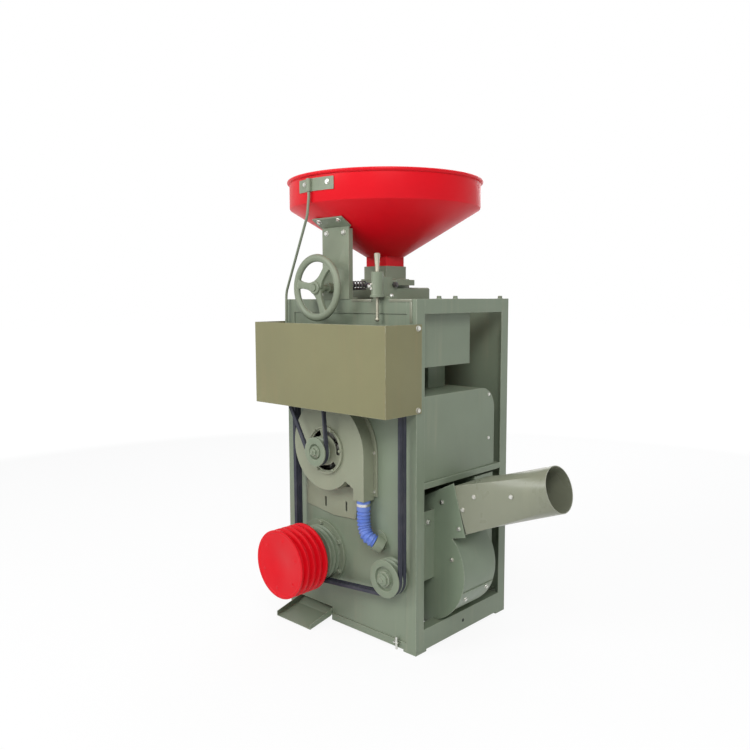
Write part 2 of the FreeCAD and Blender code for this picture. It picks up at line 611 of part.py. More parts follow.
def gate_lugs():
    """Two lugs under the mill that carry the flap's pin."""
    px, pz = gate_pivot()
    lugs = []
    for y in (MILL_FRONT + 2, SCREEN_FRONT + 6):
        plate = prism_y([(px - 12, pz - 12), (px + 12, pz - 12), (px + 26, MAIN_Z - 60), (px - 12, MAIN_Z - 40)],
                        y, y + 8)
        plate = plate.cut(rod_y(MILL_R - 2, MAIN_X, MAIN_Z, y - 1, y + 9))
        lugs.append(plate.cut(rod_y(GATE_PIN_R + RUN, px, pz, y - 1, y + 9)))
    return lugs


def tapered_duct(top, z_top, low, z_low, wall):
    """Open-ended duct between two rectangles, each given as (x0, x1, y0, y1)."""
    def frame(r, z, inset):
        x0, x1, y0, y1 = r[0] + inset, r[1] - inset, r[2] + inset, r[3] - inset
        pts = [V(x0, y0, z), V(x1, y0, z), V(x1, y1, z), V(x0, y1, z)]
        return Part.makePolygon(pts + pts[:1])
    outer = Part.makeLoft([frame(top, z_top, 0), frame(low, z_low, 0)], True, True)
    inner = Part.makeLoft([frame(top, z_top, wall), frame(low, z_low, wall)], True, True)
    return outer.cut(inner)


def bran_hopper():
    half = MILL_R + SEAT + PANEL_T
    top = (MAIN_X - half, MAIN_X + half, SCREEN_FRONT + 22, SCREEN_BACK + 10)
    low = (MAIN_X - 50, MAIN_X + 60, SCREEN_FRONT + 50, SCREEN_BACK - 20)
    return tapered_duct(top, MAIN_Z - 4, low, 62, PANEL_T).cut(
        rod_y(MILL_R + SEAT, MAIN_X, MAIN_Z, SCREEN_FRONT - 10, SCREEN_BACK + 20))


def mill_feed_chute():
    """Duct from the separator's floor to the mill's feed neck."""
    top = (MAIN_X - 70, MAIN_X + 70, FEED_Y0 - 24, FEED_Y1 + 14)
    low = (MAIN_X - 54.5, MAIN_X + 54.5, FEED_Y0 - 2.5, FEED_Y1 + 2.5)
    duct = tapered_duct(top, SHELF_Z - SEAT, low, MAIN_Z + MILL_R + 16, PANEL_T)
    skirt = box(low[0], low[1], low[2], low[3], MAIN_Z + MILL_R - 8, MAIN_Z + MILL_R + 16)
    bore = box(low[0] + 2.2, low[1] - 2.2, low[2] + 2.2, low[3] - 2.2, MAIN_Z, MAIN_Z + MILL_R + 30)
    skirt = skirt.cut([bore, rod_y(MILL_R + SEAT, MAIN_X, MAIN_Z, FEED_Y0 - 14, MILL_BACK)])
    return fused([duct, skirt])


def rice_chute():
    """Open channel under the mill's outlet, through the panel's foot to the front."""
    lip, bend, back = CHUTE_LIP_Y, FRONT - 7.5, SCREEN_FRONT - 6
    floor_line = [(back, 96), (bend, 24), (lip, 3)]
    wall = 24.0
    profile = floor_line + [(lip, 5 + wall * 0.7), (bend, 26 + wall), (back, 98 + wall)]
    outside = prism_x(profile, CHUTE_X0, CHUTE_X1)
    inner = [(back + 6, 101), (bend, 26.5), (lip - 5, 4.6), (lip - 5, 90), (back + 6, 190)]
    channel = outside.cut(prism_x(inner, CHUTE_X0 + PANEL_T, CHUTE_X1 - PANEL_T))
    y0, y1 = PANEL_INNER, PANEL_INNER + PANEL_T
    ears = [box(CHUTE_X0 - 14, CHUTE_X0 + 1, y0, y1, 40, 49), box(CHUTE_X1 - 1, CHUTE_X1 + 14, y0, y1, 40, 49)]
    return fused([channel] + ears)


# --- separator, aspiration and fan ---------------------------------------------------------------------------------
def separator_outline(inset):
    y0, y1 = SEPARATOR_Y0 + inset, SEPARATOR_Y1 - inset
    z0, z1 = SHELF_Z + SEAT + inset, SEPARATOR_TOP - inset
    r = SEPARATOR_ROUND - inset
    mid = math.radians(45)
    arc = Part.Arc(V(0, y1 - r, z1), V(0, y1 - r + r * math.cos(mid), z1 - r + r * math.sin(mid)), V(0, y1, z1 - r))
    edges = [Part.makeLine(V(0, y0, z0), V(0, y0, z1)), Part.makeLine(V(0, y0, z1), V(0, y1 - r, z1)),
             arc.toShape(), Part.makeLine(V(0, y1, z1 - r), V(0, y1, z0)),
             Part.makeLine(V(0, y1, z0), V(0, y0, z0))]
    return Part.Face(Part.Wire(edges))


def separator_housing():
    """Closed chamber on the shelf rails where air lifts the husk off the brown rice."""
    length = SEPARATOR_X1 - SEPARATOR_X0
    body = separator_outline(0).extrude(V(length, 0, 0))
    hollow = separator_outline(SEPARATOR_T).extrude(V(length - 2 * SEPARATOR_T, 0, 0))
    body.translate(V(SEPARATOR_X0, 0, 0))
    hollow.translate(V(SEPARATOR_X0 + SEPARATOR_T, 0, 0))
    mouth = box(CASING_X0 + 8, CASING_X1 - 8, CASING_Y0 + CHEEK_T + 2, SEPARATOR_Y1 - SEPARATOR_ROUND,
                SEPARATOR_TOP - 10, SEPARATOR_TOP + 2)
    grain = box(MAIN_X - 66, MAIN_X + 66, FEED_Y0 - 20, FEED_Y1 + 10, SHELF_Z - 2, SHELF_Z + 10)
    air = box(SUCTION_X0 + 10, SUCTION_NECK_X1 - 6, FAN_BACK + 12, SEPARATOR_Y1 - 11, SHELF_Z - 2, SHELF_Z + 10)
    husk = husk_leg(0, SEPARATOR_TOP - 10, SEPARATOR_TOP + 2)
    return body.cut([hollow, mouth, grain, air, husk])


def aspiration_box():
    """Sheet box beside the husker that leads dust-laden air over to the separator."""
    x0, x1 = ASPIRATION_X0, ASPIRATION_X1
    y0, y1 = PANEL_INNER + PANEL_GAP, ASPIRATION_Y1
    outside = box(x0, x1, y0, y1, ASPIRATION_Z0, ASPIRATION_Z1)
    t = PANEL_T
    inside = box(x0 + t, x1 - t, y0 + t, y1 - t, ASPIRATION_Z0 + t, ASPIRATION_Z1 - t)
    spigot = side_window(CASING_X1 + SEAT, x0 + t, 4)
    leg = husk_leg(t, SEPARATOR_TOP + SEAT, ASPIRATION_Z0 + 1)
    body = fused([outside.cut(inside), spigot, leg])
    return body.cut([side_window(CASING_X1 - 1, x0 + t + 1, 0), husk_leg(0, SEPARATOR_TOP - 1, ASPIRATION_Z0 + 3)])


def husk_leg(grow, z0, z1):
    """Short duct from the aspiration box down into the separator."""
    return box(ASPIRATION_X0 + 15 - grow, ASPIRATION_X0 + 119 + grow, ASPIRATION_Y1 - 110 - grow, ASPIRATION_Y1 - 12 + grow,
               z0, z1)


def side_window(x0, x1, grow):
    """Opening between the husker's casing and the aspiration box."""
    return box(x0, x1, CASING_Y0 + 30 - grow, ASPIRATION_Y1 - 20 + grow, ASPIRATION_Z0 + 26 - grow, CASING_Z1 - 40 + grow)


def fan_arc(cx, cz, radius, a0, a1):
    mid = (a0 + a1) / 2
    points = [polar(cx, cz, radius, a) for a in (a0, mid, a1)]
    return Part.Arc(*[V(x, 0, z) for x, z in points]).toShape()


def fan_outline(grow):
    """Scroll outline in the XZ plane, grown outwards by a lip."""
    s = FAN_SCROLL_STEP
    c1 = (FAN_X - 2, FAN_Z - 8)
    c2 = (c1[0], c1[1] + s)
    c3 = (c2[0] + s, c2[1])
    r1 = FAN_SCROLL_R + grow
    tongue_angle = math.atan2(FAN_TONGUE[1] - c1[1], FAN_TONGUE[0] - c1[0])
    start = polar(c1[0], c1[1], r1, tongue_angle)
    arcs = [fan_arc(c1[0], c1[1], r1, tongue_angle, -math.pi / 2),
            fan_arc(c2[0], c2[1], r1 + s, -math.pi / 2, -math.pi),
            fan_arc(c3[0], c3[1], r1 + 2 * s, math.pi, FAN_THROW_ANGLE)]
    leave = polar(c3[0], c3[1], r1 + 2 * s, FAN_THROW_ANGLE)
    top = (FAN_OUTLET_TOP[0], FAN_OUTLET_TOP[1] + grow)
    low = (FAN_OUTLET_LOW[0], FAN_OUTLET_LOW[1] - grow)
    corners = [leave, top, low, start]
    lines = [Part.makeLine(V(a[0], 0, a[1]), V(b[0], 0, b[1])) for a, b in zip(corners, corners[1:])]
    return Part.Face(Part.Wire(arcs + lines))


def fan_solid(grow, y0, y1):
    solid = fan_outline(grow).extrude(V(0, y1 - y0, 0))
    solid.translate(V(0, y0, 0))
    return solid


def fan_mouth_cutter(grow):
    """Wedge that opens the scroll where the duct is bolted on."""
    (tx, tz), (lx, lz) = FAN_OUTLET_TOP, FAN_OUTLET_LOW
    nx, nz = (tz - lz), (lx - tx)
    size = math.hypot(nx, nz)
    nx, nz = nx / size, nz / size
    dx, dz = (lx - tx) / size, (lz - tz) / size
    a = (tx + dx * grow - nx * 12, tz + dz * grow - nz * 12)
    b = (lx - dx * grow - nx * 12, lz - dz * grow - nz * 12)
    c = (b[0] + nx * 24, b[1] + nz * 24)
    d = (a[0] + nx * 24, a[1] + nz * 24)
    return prism_y([a, b, c, d], FAN_FRONT + FAN_SHEET, FAN_BACK - FAN_SHEET)


def fan_scroll():
    """Rolled wrapper of the fan with its foot, the back plate with the eye, and the clean-out patch."""
    inner_face = FAN_BACK - FAN_SHEET
    body = fan_solid(0, FAN_FRONT, inner_face)
    hollow = fan_solid(-FAN_SHEET, FAN_FRONT - 1, inner_face + 1)
    foot = box(FAN_X - 45, FAN_X + 30, FAN_BAR_Y - 15, FAN_BAR_Y + 15, CROSS_BAR_TOP, FAN_Z - FAN_SCROLL_R + 10)
    wrapper = fused([body, foot]).cut([hollow, fan_mouth_cutter(FAN_SHEET + 1)])
    eye = rod_y(FAN_EYE_R, FAN_X, FAN_Z, FAN_BACK - 10, FAN_BACK + 2)
    back_plate = fan_solid(0, inner_face, FAN_BACK).cut(eye)
    return group([wrapper, back_plate, clean_out_cover()])


def fan_front_plate():
    """Flat side plate, its lip standing out all round the wrapper."""
    plate = fan_solid(FAN_FLANGE_LIP, FAN_FRONT - FAN_SHEET, FAN_FRONT)
    rail_relief = box(HALF_W - POST_LEG - 2, HALF_W + 20, FAN_FRONT - 20, FAN_FRONT + 1, 0, BASE_RAIL_TOP + 1)
    return plate.cut([rod_y(FAN_SHAFT_R + 2, FAN_X, FAN_Z, FAN_FRONT - 10, FAN_FRONT + 2), rail_relief])


def clean_out_cover():
    """Curved patch bolted over the lower right of the scroll."""
    cx, cz = FAN_X - 2, FAN_Z - 8
    r = FAN_SCROLL_R + SEAT
    patch = ring_y(r + FAN_SHEET, r, cx, cz, FAN_FRONT + 12, FAN_BACK - 4)
    keep = prism_y([(cx, cz), polar(cx, cz, 400, math.radians(-62)), polar(cx, cz, 400, math.radians(-20))],
                   FAN_FRONT, FAN_BACK)
    return patch.common(keep)


def duct_frame(grow):
    """Rectangle of the duct's bolted end, square to the throw of the fan."""
    (tx, tz), (lx, lz) = FAN_OUTLET_TOP, FAN_OUTLET_LOW
    size = math.hypot(lx - tx, lz - tz)
    dx, dz = (lx - tx) / size, (lz - tz) / size
    top = (tx - dx * grow, tz - dz * grow)
    low = (lx + dx * grow, lz + dz * grow)
    return top, low, (-dz, dx)


def frame_wire(top, low, y0, y1, shift):
    pts = [V(top[0] + shift[0], y0, top[1] + shift[1]), V(top[0] + shift[0], y1, top[1] + shift[1]),
           V(low[0] + shift[0], y1, low[1] + shift[1]), V(low[0] + shift[0], y0, low[1] + shift[1])]
    return Part.makePolygon(pts + pts[:1])


def mouth_wire(radius, direction):
    """Circle of four arcs, so that each meets one side of the rectangle."""
    centre = V(*MOUTH_CENTRE)
    up = V(-direction[1], 0, direction[0])
    side = V(0, 1, 0)
    def at(angle):
        return centre + up * (radius * math.cos(angle)) + side * (radius * math.sin(angle))
    edges = []
    for k in range(4):
        a = math.radians(-45 + 90 * k)
        mid, b = a + math.radians(45), a + math.radians(90)
        edges.append(Part.Arc(at(a), at(mid), at(b)).toShape())
    return Part.Wire(edges)


def fan_duct():
    """Duct from the fan's square outlet to a round mouth."""
    top, low, out = duct_frame(0)
    shift = (out[0] * SEAT, out[1] * SEAT)
    outer = Part.makeLoft([frame_wire(top, low, FAN_FRONT, FAN_BACK, shift), mouth_wire(MOUTH_R, out)], True, True)
    t = FAN_SHEET
    inner_top, inner_low, _ = duct_frame(-t)
    inner = Part.makeLoft([frame_wire(inner_top, inner_low, FAN_FRONT + t, FAN_BACK - t, shift),
                           mouth_wire(MOUTH_R - t, out)], True, True)
    return outer.cut(inner)


def suction_duct():
    """Box duct from the separator's floor down to the eye of the fan, narrower past the shelf."""
    y0, y1 = FAN_BACK + SEAT, SEPARATOR_Y1 - 3
    z0, z1 = FAN_Z - FAN_EYE_R - 12, SHELF_Z - SEAT
    shoulder = SHELF_Z - SHELF_H - 12
    t = PANEL_T
    outside = box(SUCTION_X0, SUCTION_X1, y0, y1, z0, shoulder)
    outside = outside.fuse(box(SUCTION_X0, SUCTION_NECK_X1, y0, y1, shoulder, z1))
    inside = box(SUCTION_X0 + t, SUCTION_X1 - t, y0 + t, y1 - t, z0 + t, shoulder - t)
    inside = inside.fuse(box(SUCTION_X0 + t, SUCTION_NECK_X1 - t, y0 + t, y1 - t, z0 + t, z1 + 1))
    eye = rod_y(FAN_EYE_R - 4, FAN_X, FAN_Z, y0 - 1, y0 + t + 1)
    return outside.removeSplitter().cut([inside, eye])


def fan_bracket():
    """Slotted angle plate that ties the fan's side plate to the front panel."""
    x0, x1 = FAN_BRACKET_X, FAN_BRACKET_X + FAN_BRACKET_T
    y0, y1 = PANEL_INNER, FAN_FRONT - FAN_SHEET
    z0, z1 = FAN_BRACKET_Z0, FAN_BRACKET_Z1
    web = box(x0, x1, y0, y1, z0, z1)
    ears = [box(x0 - 12, x1, y0, y0 + FAN_BRACKET_T, z0, z1), box(x0 - 12, x1, y1 - FAN_BRACKET_T, y1, z0, z1)]
    slot = box(x0 - 2, x1 + 2, y0 + 56.5, y0 + 65.5, z1 - 53, z1 - 13)
    return fused([web] + ears).cut(slot)


def fan_shaft():
    return rod_y(FAN_SHAFT_R, FAN_X, FAN_Z, pulley_faces()[0] - 9, FAN_BACK - 40)


def fan_pulley():
    return two_groove_pulley(FAN_X, FAN_Z, FAN_PULLEY_R, FAN_SHAFT_R + RUN, FAN_PULLEY_R - 22)


def fan_impeller():
    """Back plate, hub and six straight paddles."""
    y0, y1 = FAN_FRONT + 14, FAN_BACK - 22
    plate = rod_y(FAN_WHEEL_R - 18, FAN_X, FAN_Z, y0, y0 + 4)
    hub = rod_y(34, FAN_X, FAN_Z, y0, y0 + 70)
    paddles = []
    for k in range(6):
        paddle = box(28, FAN_WHEEL_R, y0, y1, -2, 2)
        paddle.rotate(V(0, 0, 0), V(0, 1, 0), 60 * k)
        paddle.translate(V(FAN_X, 0, FAN_Z))
        paddles.append(paddle)
    return fused([plate, hub] + paddles).cut(rod_y(FAN_SHAFT_R + RUN, FAN_X, FAN_Z, y0 - 1, y1 + 1))


# --- blower -------------------------------------------------------------------------------------------------------
def blower_outline(grow, mouth_z):
    """Volute of four arcs whose outlet points down."""
    s = BLOWER_STEP
    x, z = BLOWER_X, BLOWER_Z
    r = BLOWER_R + grow
    c1, c2 = (x + 1, z - 3), (x + 1, z + 11)
    c3, c4 = (x - 13, z + 11), (x - 13, z - 3)
    cut_angle = math.radians(-42)
    arcs = [fan_arc(c1[0], c1[1], r, 0, math.pi / 2),
            fan_arc(c2[0], c2[1], r - s, math.pi / 2, math.pi),
            fan_arc(c3[0], c3[1], r - 2 * s, math.pi, 1.5 * math.pi),
            fan_arc(c4[0], c4[1], r - 3 * s, -math.pi / 2, cut_angle)]
    neck = polar(c4[0], c4[1], r - 3 * s, cut_angle)
    left = BLOWER_OUTLET_X0 - grow
    corners = [neck, (left, z - 128), (left, mouth_z), (c1[0] + r, mouth_z), (c1[0] + r, c1[1])]
    lines = [Part.makeLine(V(a[0], 0, a[1]), V(b[0], 0, b[1])) for a, b in zip(corners, corners[1:])]
    return Part.Face(Part.Wire(arcs + lines))


def blower_solid(grow, mouth_z, y0, y1):
    solid = blower_outline(grow, mouth_z).extrude(V(0, y1 - y0, 0))
    solid.translate(V(0, y0, 0))
    return solid


def blower_casing():
    """Cast volute on a wide back plate whose slotted foot lets it slide to tighten the belt."""
    body = blower_solid(0, BLOWER_OUTLET_Z, BLOWER_FRONT, BLOWER_BACK)
    hollow = blower_solid(-BLOWER_WALL, BLOWER_OUTLET_Z + BLOWER_WALL, BLOWER_FRONT + BLOWER_WALL, BLOWER_BACK)
    inlet = rod_y(BLOWER_COVER_R - 12, BLOWER_X, BLOWER_Z, BLOWER_FRONT - 1, BLOWER_FRONT + 10)
    cx = (BLOWER_OUTLET_X0 + BLOWER_OUTLET_X1) / 2
    cy = (BLOWER_FRONT + BLOWER_BACK) / 2
    spigot = rod_z(HOSE_R - 4, cx, cy, BLOWER_OUTLET_Z - HOSE_SPIGOT, BLOWER_OUTLET_Z + 1)
    bore = rod_z(HOSE_R - 7, cx, cy, BLOWER_OUTLET_Z - HOSE_SPIGOT - 4, BLOWER_OUTLET_Z + 10)
    return group([fused([body.cut([hollow, inlet]), spigot]).cut(bore), blower_back()])


def blower_back():
    """Back plate of the blower, its lip wider than the volute except beside the belts."""
    plate = blower_solid(BLOWER_LIP, BLOWER_OUTLET_Z + 12, BLOWER_BACK, PANEL_FRONT)
    left_limit = box(BLOWER_X - 400, BLOWER_X - 182, BLOWER_BACK - 1, PANEL_FRONT + 1, BLOWER_Z - 300, BLOWER_Z + 300)
    x0, x1, z0 = BLOWER_X - 175, BLOWER_X + 125, BLOWER_FOOT_Z
    outline = [(x0, BLOWER_Z - 150), (x0, z0 + 22), (x0 + 150, z0), (x1 - 26, z0 + 6), (x1, BLOWER_Z - 135)]
    foot = prism_y(outline, BLOWER_BACK, PANEL_FRONT)
    slots = [box(x - 5, x + 5, BLOWER_BACK - 1, PANEL_FRONT + 1, z0 + 26, z0 + 66)
             for x in (BLOWER_X - 65, BLOWER_X + 50)]
    return fused([plate.cut(left_limit), foot]).cut(slots)


def blower_cover():
    """Inlet spider: a ring with three long openings round the bearing boss."""
    y1 = BLOWER_FRONT
    plate = rod_y(BLOWER_COVER_R, BLOWER_X, BLOWER_Z, y1 - 6, y1)
    rim = ring_y(BLOWER_COVER_R, BLOWER_COVER_R - 8, BLOWER_X, BLOWER_Z, y1 - 10, y1)
    boss = rod_y(27, BLOWER_X, BLOWER_Z, y1 - 20, y1 + 22)
    ring = ring_y(78, 58, BLOWER_X, BLOWER_Z, y1 - 8, y1 + 2)
    openings = []
    for k in range(3):
        a = math.radians(35 + 120 * k)
        half = math.radians(44)
        wedge = prism_y([(BLOWER_X, BLOWER_Z), polar(BLOWER_X, BLOWER_Z, 140, a - half),
                         polar(BLOWER_X, BLOWER_Z, 190, a), polar(BLOWER_X, BLOWER_Z, 140, a + half)], y1 - 9, y1 + 3)
        openings.append(ring.common(wedge))
    bore = rod_y(BLOWER_SHAFT_R + RUN, BLOWER_X, BLOWER_Z, y1 - 30, y1 + 30)
    return fused([plate, rim, boss]).cut(openings + [bore])


def blower_shaft():
    return rod_y(BLOWER_SHAFT_R, BLOWER_X, BLOWER_Z, BLOWER_BELT_Y - 20, BLOWER_BACK - 4)


def blower_pulley():
    return one_groove_pulley(BLOWER_X, BLOWER_Z, BLOWER_PULLEY_R, BLOWER_SHAFT_R + RUN, BLOWER_PULLEY_R - 24)


def blower_impeller():
    y0, y1 = BLOWER_FRONT + BLOWER_WALL + 20, BLOWER_BACK - 8
    plate = rod_y(BLOWER_WHEEL_R, BLOWER_X, BLOWER_Z, y1 - 3, y1)
    hub = rod_y(22, BLOWER_X, BLOWER_Z, y0, y1)
    blades = []
    for k in range(8):
        blade = box(20, BLOWER_WHEEL_R - 2, y0, y1, -1.5, 1.5)
        blade.rotate(V(0, 0, 0), V(0, 1, 0), 45 * k)
        blade.translate(V(BLOWER_X, 0, BLOWER_Z))
        blades.append(blade)
    return fused([plate, hub] + blades).cut(rod_y(BLOWER_SHAFT_R + RUN, BLOWER_X, BLOWER_Z, y0 - 1, y1 + 1))


def bent_rod(points, radius, bend):
    """Round bar through the given points, each corner bent to an arc."""
    edges, profile_at = [], None
    start = points[0]
    for i in range(1, len(points) - 1):
        before = (points[i] - points[i - 1]).normalize()
        after = (points[i + 1] - points[i]).normalize()
        half = before.getAngle(after) / 2
        reach = bend * math.tan(half)
        a, b = points[i] - before * reach, points[i] + after * reach
        inward = (after - before).normalize()
        centre = points[i] + inward * (bend / math.cos(half))
        edges.append(Part.makeLine(start, a))
        edges.append(Part.Arc(a, centre - inward * bend, b).toShape())
        start = b
    edges.append(Part.makeLine(start, points[-1]))
    path = Part.Wire(edges)
    circle = Part.makeCircle(radius, points[0], points[1] - points[0])
    return path.makePipeShell([Part.Wire([circle])], True, True)


def hose_points():
    cx = (BLOWER_OUTLET_X0 + BLOWER_OUTLET_X1) / 2
    cy = (BLOWER_FRONT + BLOWER_BACK) / 2
    x, z = HOSE_END
    return [V(cx, cy, BLOWER_OUTLET_Z - SEAT), V(cx, cy, z + 56), V(x - 20, HOSE_END_Y - 16, z + 14),
            V(x - 4, HOSE_END_Y, z)]


def air_hose():
    """Corrugated hose from the blower's spigot to the elbow in the panel."""
    points = hose_points()
    tube = bent_rod(points, HOSE_R, HOSE_BEND)
    cx, cy = points[0].x, points[0].y
    socket = rod_z(HOSE_R - 4 + RUN * 2, cx, cy, BLOWER_OUTLET_Z - HOSE_SPIGOT - 1, BLOWER_OUTLET_Z + 1)
    return tube.cut(socket)


def hose_elbow():
    """Cast socket in the panel that takes the hose, and its pipe to the mill's front."""
    x, z = HOSE_END
    end = hose_points()[-1]
    before = (end - hose_points()[-2]).normalize()
    cup = Part.makeCylinder(HOSE_R + 5, 34, end + before * SEAT, before)
    flange = rod_y(HOSE_R + 12, x, z, PANEL_FRONT - 5, PANEL_FRONT)
    cup = cup.cut(box(x - 80, x + 80, PANEL_FRONT - 2, PANEL_FRONT + 78, z - 80, z + 80))
    route = [V(x, PANEL_FRONT - 3, z), V(x, AIR_PIPE_Y, z), V(MAIN_X, AIR_PIPE_Y, z), V(MAIN_X, AIR_PIPE_Y, MAIN_Z)]
    pipe = bent_rod(route, AIR_PIPE_R, AIR_PIPE_R + 4)
    saddle = rod_y(HOUSING_TUBE_R + SEAT, MAIN_X, MAIN_Z, PANEL_FRONT, MILL_FRONT)
    return fused([cup, flange, pipe]).cut(saddle)


# --- husker ---------------------------------------------------------------------------------------------------------
def roll_axis():
    """Direction from the fixed roll to the movable one."""
    return math.cos(ROLL_TILT), math.sin(ROLL_TILT)


def moving_centre():
    reach = 2 * ROLL_R + ROLL_GAP
    ux, uz = roll_axis()
    return FIXED_X + reach * ux, FIXED_Z + reach * uz


def arm_pivot():
    """On the common tangent of the rolls, so that the gears part straight along their centres."""
    ux, uz = roll_axis()
    nip = GEAR_MODULE * FIXED_TEETH / 2
    return FIXED_X + nip * ux - ARM_PIVOT_DISTANCE * uz, FIXED_Z + nip * uz + ARM_PIVOT_DISTANCE * ux


def spur_gear(cx, cz, teeth, tooth_angle, bore_r):
    """Spur gear with straight-flanked teeth; one tooth points along tooth_angle."""
    pitch_r = GEAR_MODULE * teeth / 2
    slope = math.tan(math.radians(20))
    half_pitch = 0.205 * math.pi * GEAR_MODULE
    heights = [(-1.15 * GEAR_MODULE, half_pitch + 1.15 * GEAR_MODULE * slope),
               (0.9 * GEAR_MODULE, half_pitch - 0.9 * GEAR_MODULE * slope)]
    points = []
    for k in range(teeth):
        a = tooth_angle + 2 * math.pi * k / teeth
        for height, half in (heights[0], heights[1]):
            points.append(polar(cx, cz, pitch_r + height, a - half / (pitch_r + height)))
        for height, half in (heights[1], heights[0]):
            points.append(polar(cx, cz, pitch_r + height, a + half / (pitch_r + height)))
    disc = prism_y(points, GEAR_FRONT, GEAR_BACK)
    return disc.cut(rod_y(bore_r, cx, cz, GEAR_FRONT - 1, GEAR_BACK + 1))


def fixed_gear():
    return spur_gear(FIXED_X, FIXED_Z, FIXED_TEETH, ROLL_TILT, ROLL_SHAFT_R + RUN)


def moving_gear():
    cx, cz = moving_centre()
    gap_angle = ROLL_TILT + math.pi + math.pi / MOVING_TEETH
    return spur_gear(cx, cz, MOVING_TEETH, gap_angle, MOVING_SHAFT_R + RUN)


def rubber_roll(cx, cz, bore_r):
    """Iron drum with a rubber face, bolted to a web in its middle."""
    drum = ring_y(ROLL_R, ROLL_CORE_R, cx, cz, ROLL_FRONT, ROLL_BACK)
    mid = (ROLL_FRONT + ROLL_BACK) / 2
    web = rod_y(ROLL_CORE_R + 1, cx, cz, mid - 6, mid + 6)
    hub = rod_y(bore_r + 12, cx, cz, mid - 45, mid + 45)
    return fused([drum, web, hub]).cut(rod_y(bore_r, cx, cz, ROLL_FRONT - 1, ROLL_BACK + 1))


def fixed_roll():
    return rubber_roll(FIXED_X, FIXED_Z, ROLL_SHAFT_R + RUN)


def moving_roll():
    cx, cz = moving_centre()
    return rubber_roll(cx, cz, MOVING_SHAFT_R + RUN)


def fixed_roll_shaft():
    front = BLOWER_BELT_Y - GROOVE_TOP_W / 2 - PULLEY_CHEEK - 10
    return rod_y(ROLL_SHAFT_R, FIXED_X, FIXED_Z, front, CASING_Y1 + 30)


def moving_roll_shaft():
    cx, cz = moving_centre()
    return rod_y(MOVING_SHAFT_R, cx, cz, ARM_FRONT - 6, REAR_ARM_BACK + 6)


def roll_pulley():
    return two_groove_pulley(FIXED_X, FIXED_Z, ROLL_PULLEY_R, ROLL_SHAFT_R + RUN, ROLL_PULLEY_R - 26)


def blower_drive_pulley():
    return one_groove_pulley(FIXED_X, FIXED_Z, BLOWER_DRIVE_R, ROLL_SHAFT_R + RUN, BLOWER_DRIVE_R - 26)


def wheel_angle():
    """Direction from the arm's pivot to the handwheel's shaft."""
    px, pz = arm_pivot()
    return math.atan2(WHEEL_Z - pz, WHEEL_X - px)


def eccentric_centre():
    return polar(WHEEL_X, WHEEL_Z, ECCENTRIC_THROW, wheel_angle() + ECCENTRIC_REST)


def bar_between(a, b, half, y0, y1):
    """Flat bar with parallel sides from point a to point b."""
    angle = math.atan2(b[1] - a[1], b[0] - a[0])
    side = angle + math.pi / 2
    corners = [polar(a[0], a[1], half, side), polar(a[0], a[1], -half, side),
               polar(b[0], b[1], -half, side), polar(b[0], b[1], half, side)]
    return prism_y(corners, y0, y1)


def roll_arms():
    """Swing frame of the movable roll: front bell crank, cross sleeve and rear arm."""
    pivot, roll = arm_pivot(), moving_centre()
    sleeve = rod_y(ARM_SLEEVE_R, pivot[0], pivot[1], ARM_FRONT, REAR_ARM_BACK)
    parts = [sleeve]
    for y0, y1 in ((ARM_FRONT, ARM_BACK), (REAR_ARM_FRONT, REAR_ARM_BACK)):
        parts += [rod_y(ARM_SLEEVE_R + 10, pivot[0], pivot[1], y0, y1),
                  rod_y(MOVING_SHAFT_R + 13, roll[0], roll[1], y0, y1),
                  bar_between(pivot, roll, 16, y0, y1)]
    ex, ez = eccentric_centre()
    angle = math.atan2(ez - pivot[1], ex - pivot[0])
    parts.append(bar_between(pivot, polar(ex, ez, FORK_REACH, angle), FORK_HALF, ARM_FRONT, ARM_BACK))
    lug = TIE_HOLE_R + 6
    parts.append(box(TIE_LUG_X - 20, TIE_LUG_X, TIE_Y - lug, TIE_Y + lug, TIE_Z - lug, TIE_Z + lug))
    slot = bar_between(polar(ex, ez, -ECCENTRIC_R - 8, angle), polar(ex, ez, FORK_REACH + 30, angle),
                       ECCENTRIC_R + FORK_GAP, ARM_FRONT - 1, ARM_BACK + 1)
    tie_hole = rod_x(TIE_HOLE_R, TIE_LUG_X - 16, TIE_LUG_X + 2, TIE_Y, TIE_Z)
    shaft_bore = rod_y(MOVING_SHAFT_R + RUN, roll[0], roll[1], ARM_FRONT - 1, REAR_ARM_BACK + 1)
    return fused(parts).cut([slot, tie_hole, shaft_bore])


def husker_casing():
    """Cast frame of the husker: two thick cheeks and two side walls, open above and below."""
    outside = box(CASING_X0, CASING_X1, CASING_Y0, CASING_Y1, CASING_Z0, CASING_Z1)
    inside = box(CASING_X0 + CASING_SIDE_T, CASING_X1 - CASING_SIDE_T, CASING_Y0 + CHEEK_T, CASING_Y1 - CHEEK_T,
                 CASING_Z0 - 1, CASING_Z1 + 1)
    pivot, roll = arm_pivot(), moving_centre()
    bores = [rod_y(ROLL_SHAFT_R + 2, FIXED_X, FIXED_Z, CASING_Y0 - 1, CASING_Y1 + 1),
             rod_y(ARM_SLEEVE_R + RUN, pivot[0], pivot[1], CASING_Y0 - 1, CASING_Y1 + 1),
             rod_y(MOVING_SHAFT_R + 9, roll[0], roll[1], CASING_Y0 - 1, CASING_Y1 + 1)]
    return outside.cut([inside, side_window(CASING_X1 - 10, CASING_X1 + 1, 0)] + bores)


def rounded_box(x0, x1, y0, y1, z0, z1, corner, top):
    """Block with rounded upright edges and a softer top edge."""
    block = box(x0, x1, y0, y1, z0, z1)
    upright = [e for e in block.Edges if abs(e.BoundBox.ZLength - (z1 - z0)) < 0.01]
    block = block.makeFillet(corner, upright)
    upper = [e for e in block.Edges if e.BoundBox.ZMin > z1 - 0.01]
    return block.makeFillet(top, upper)


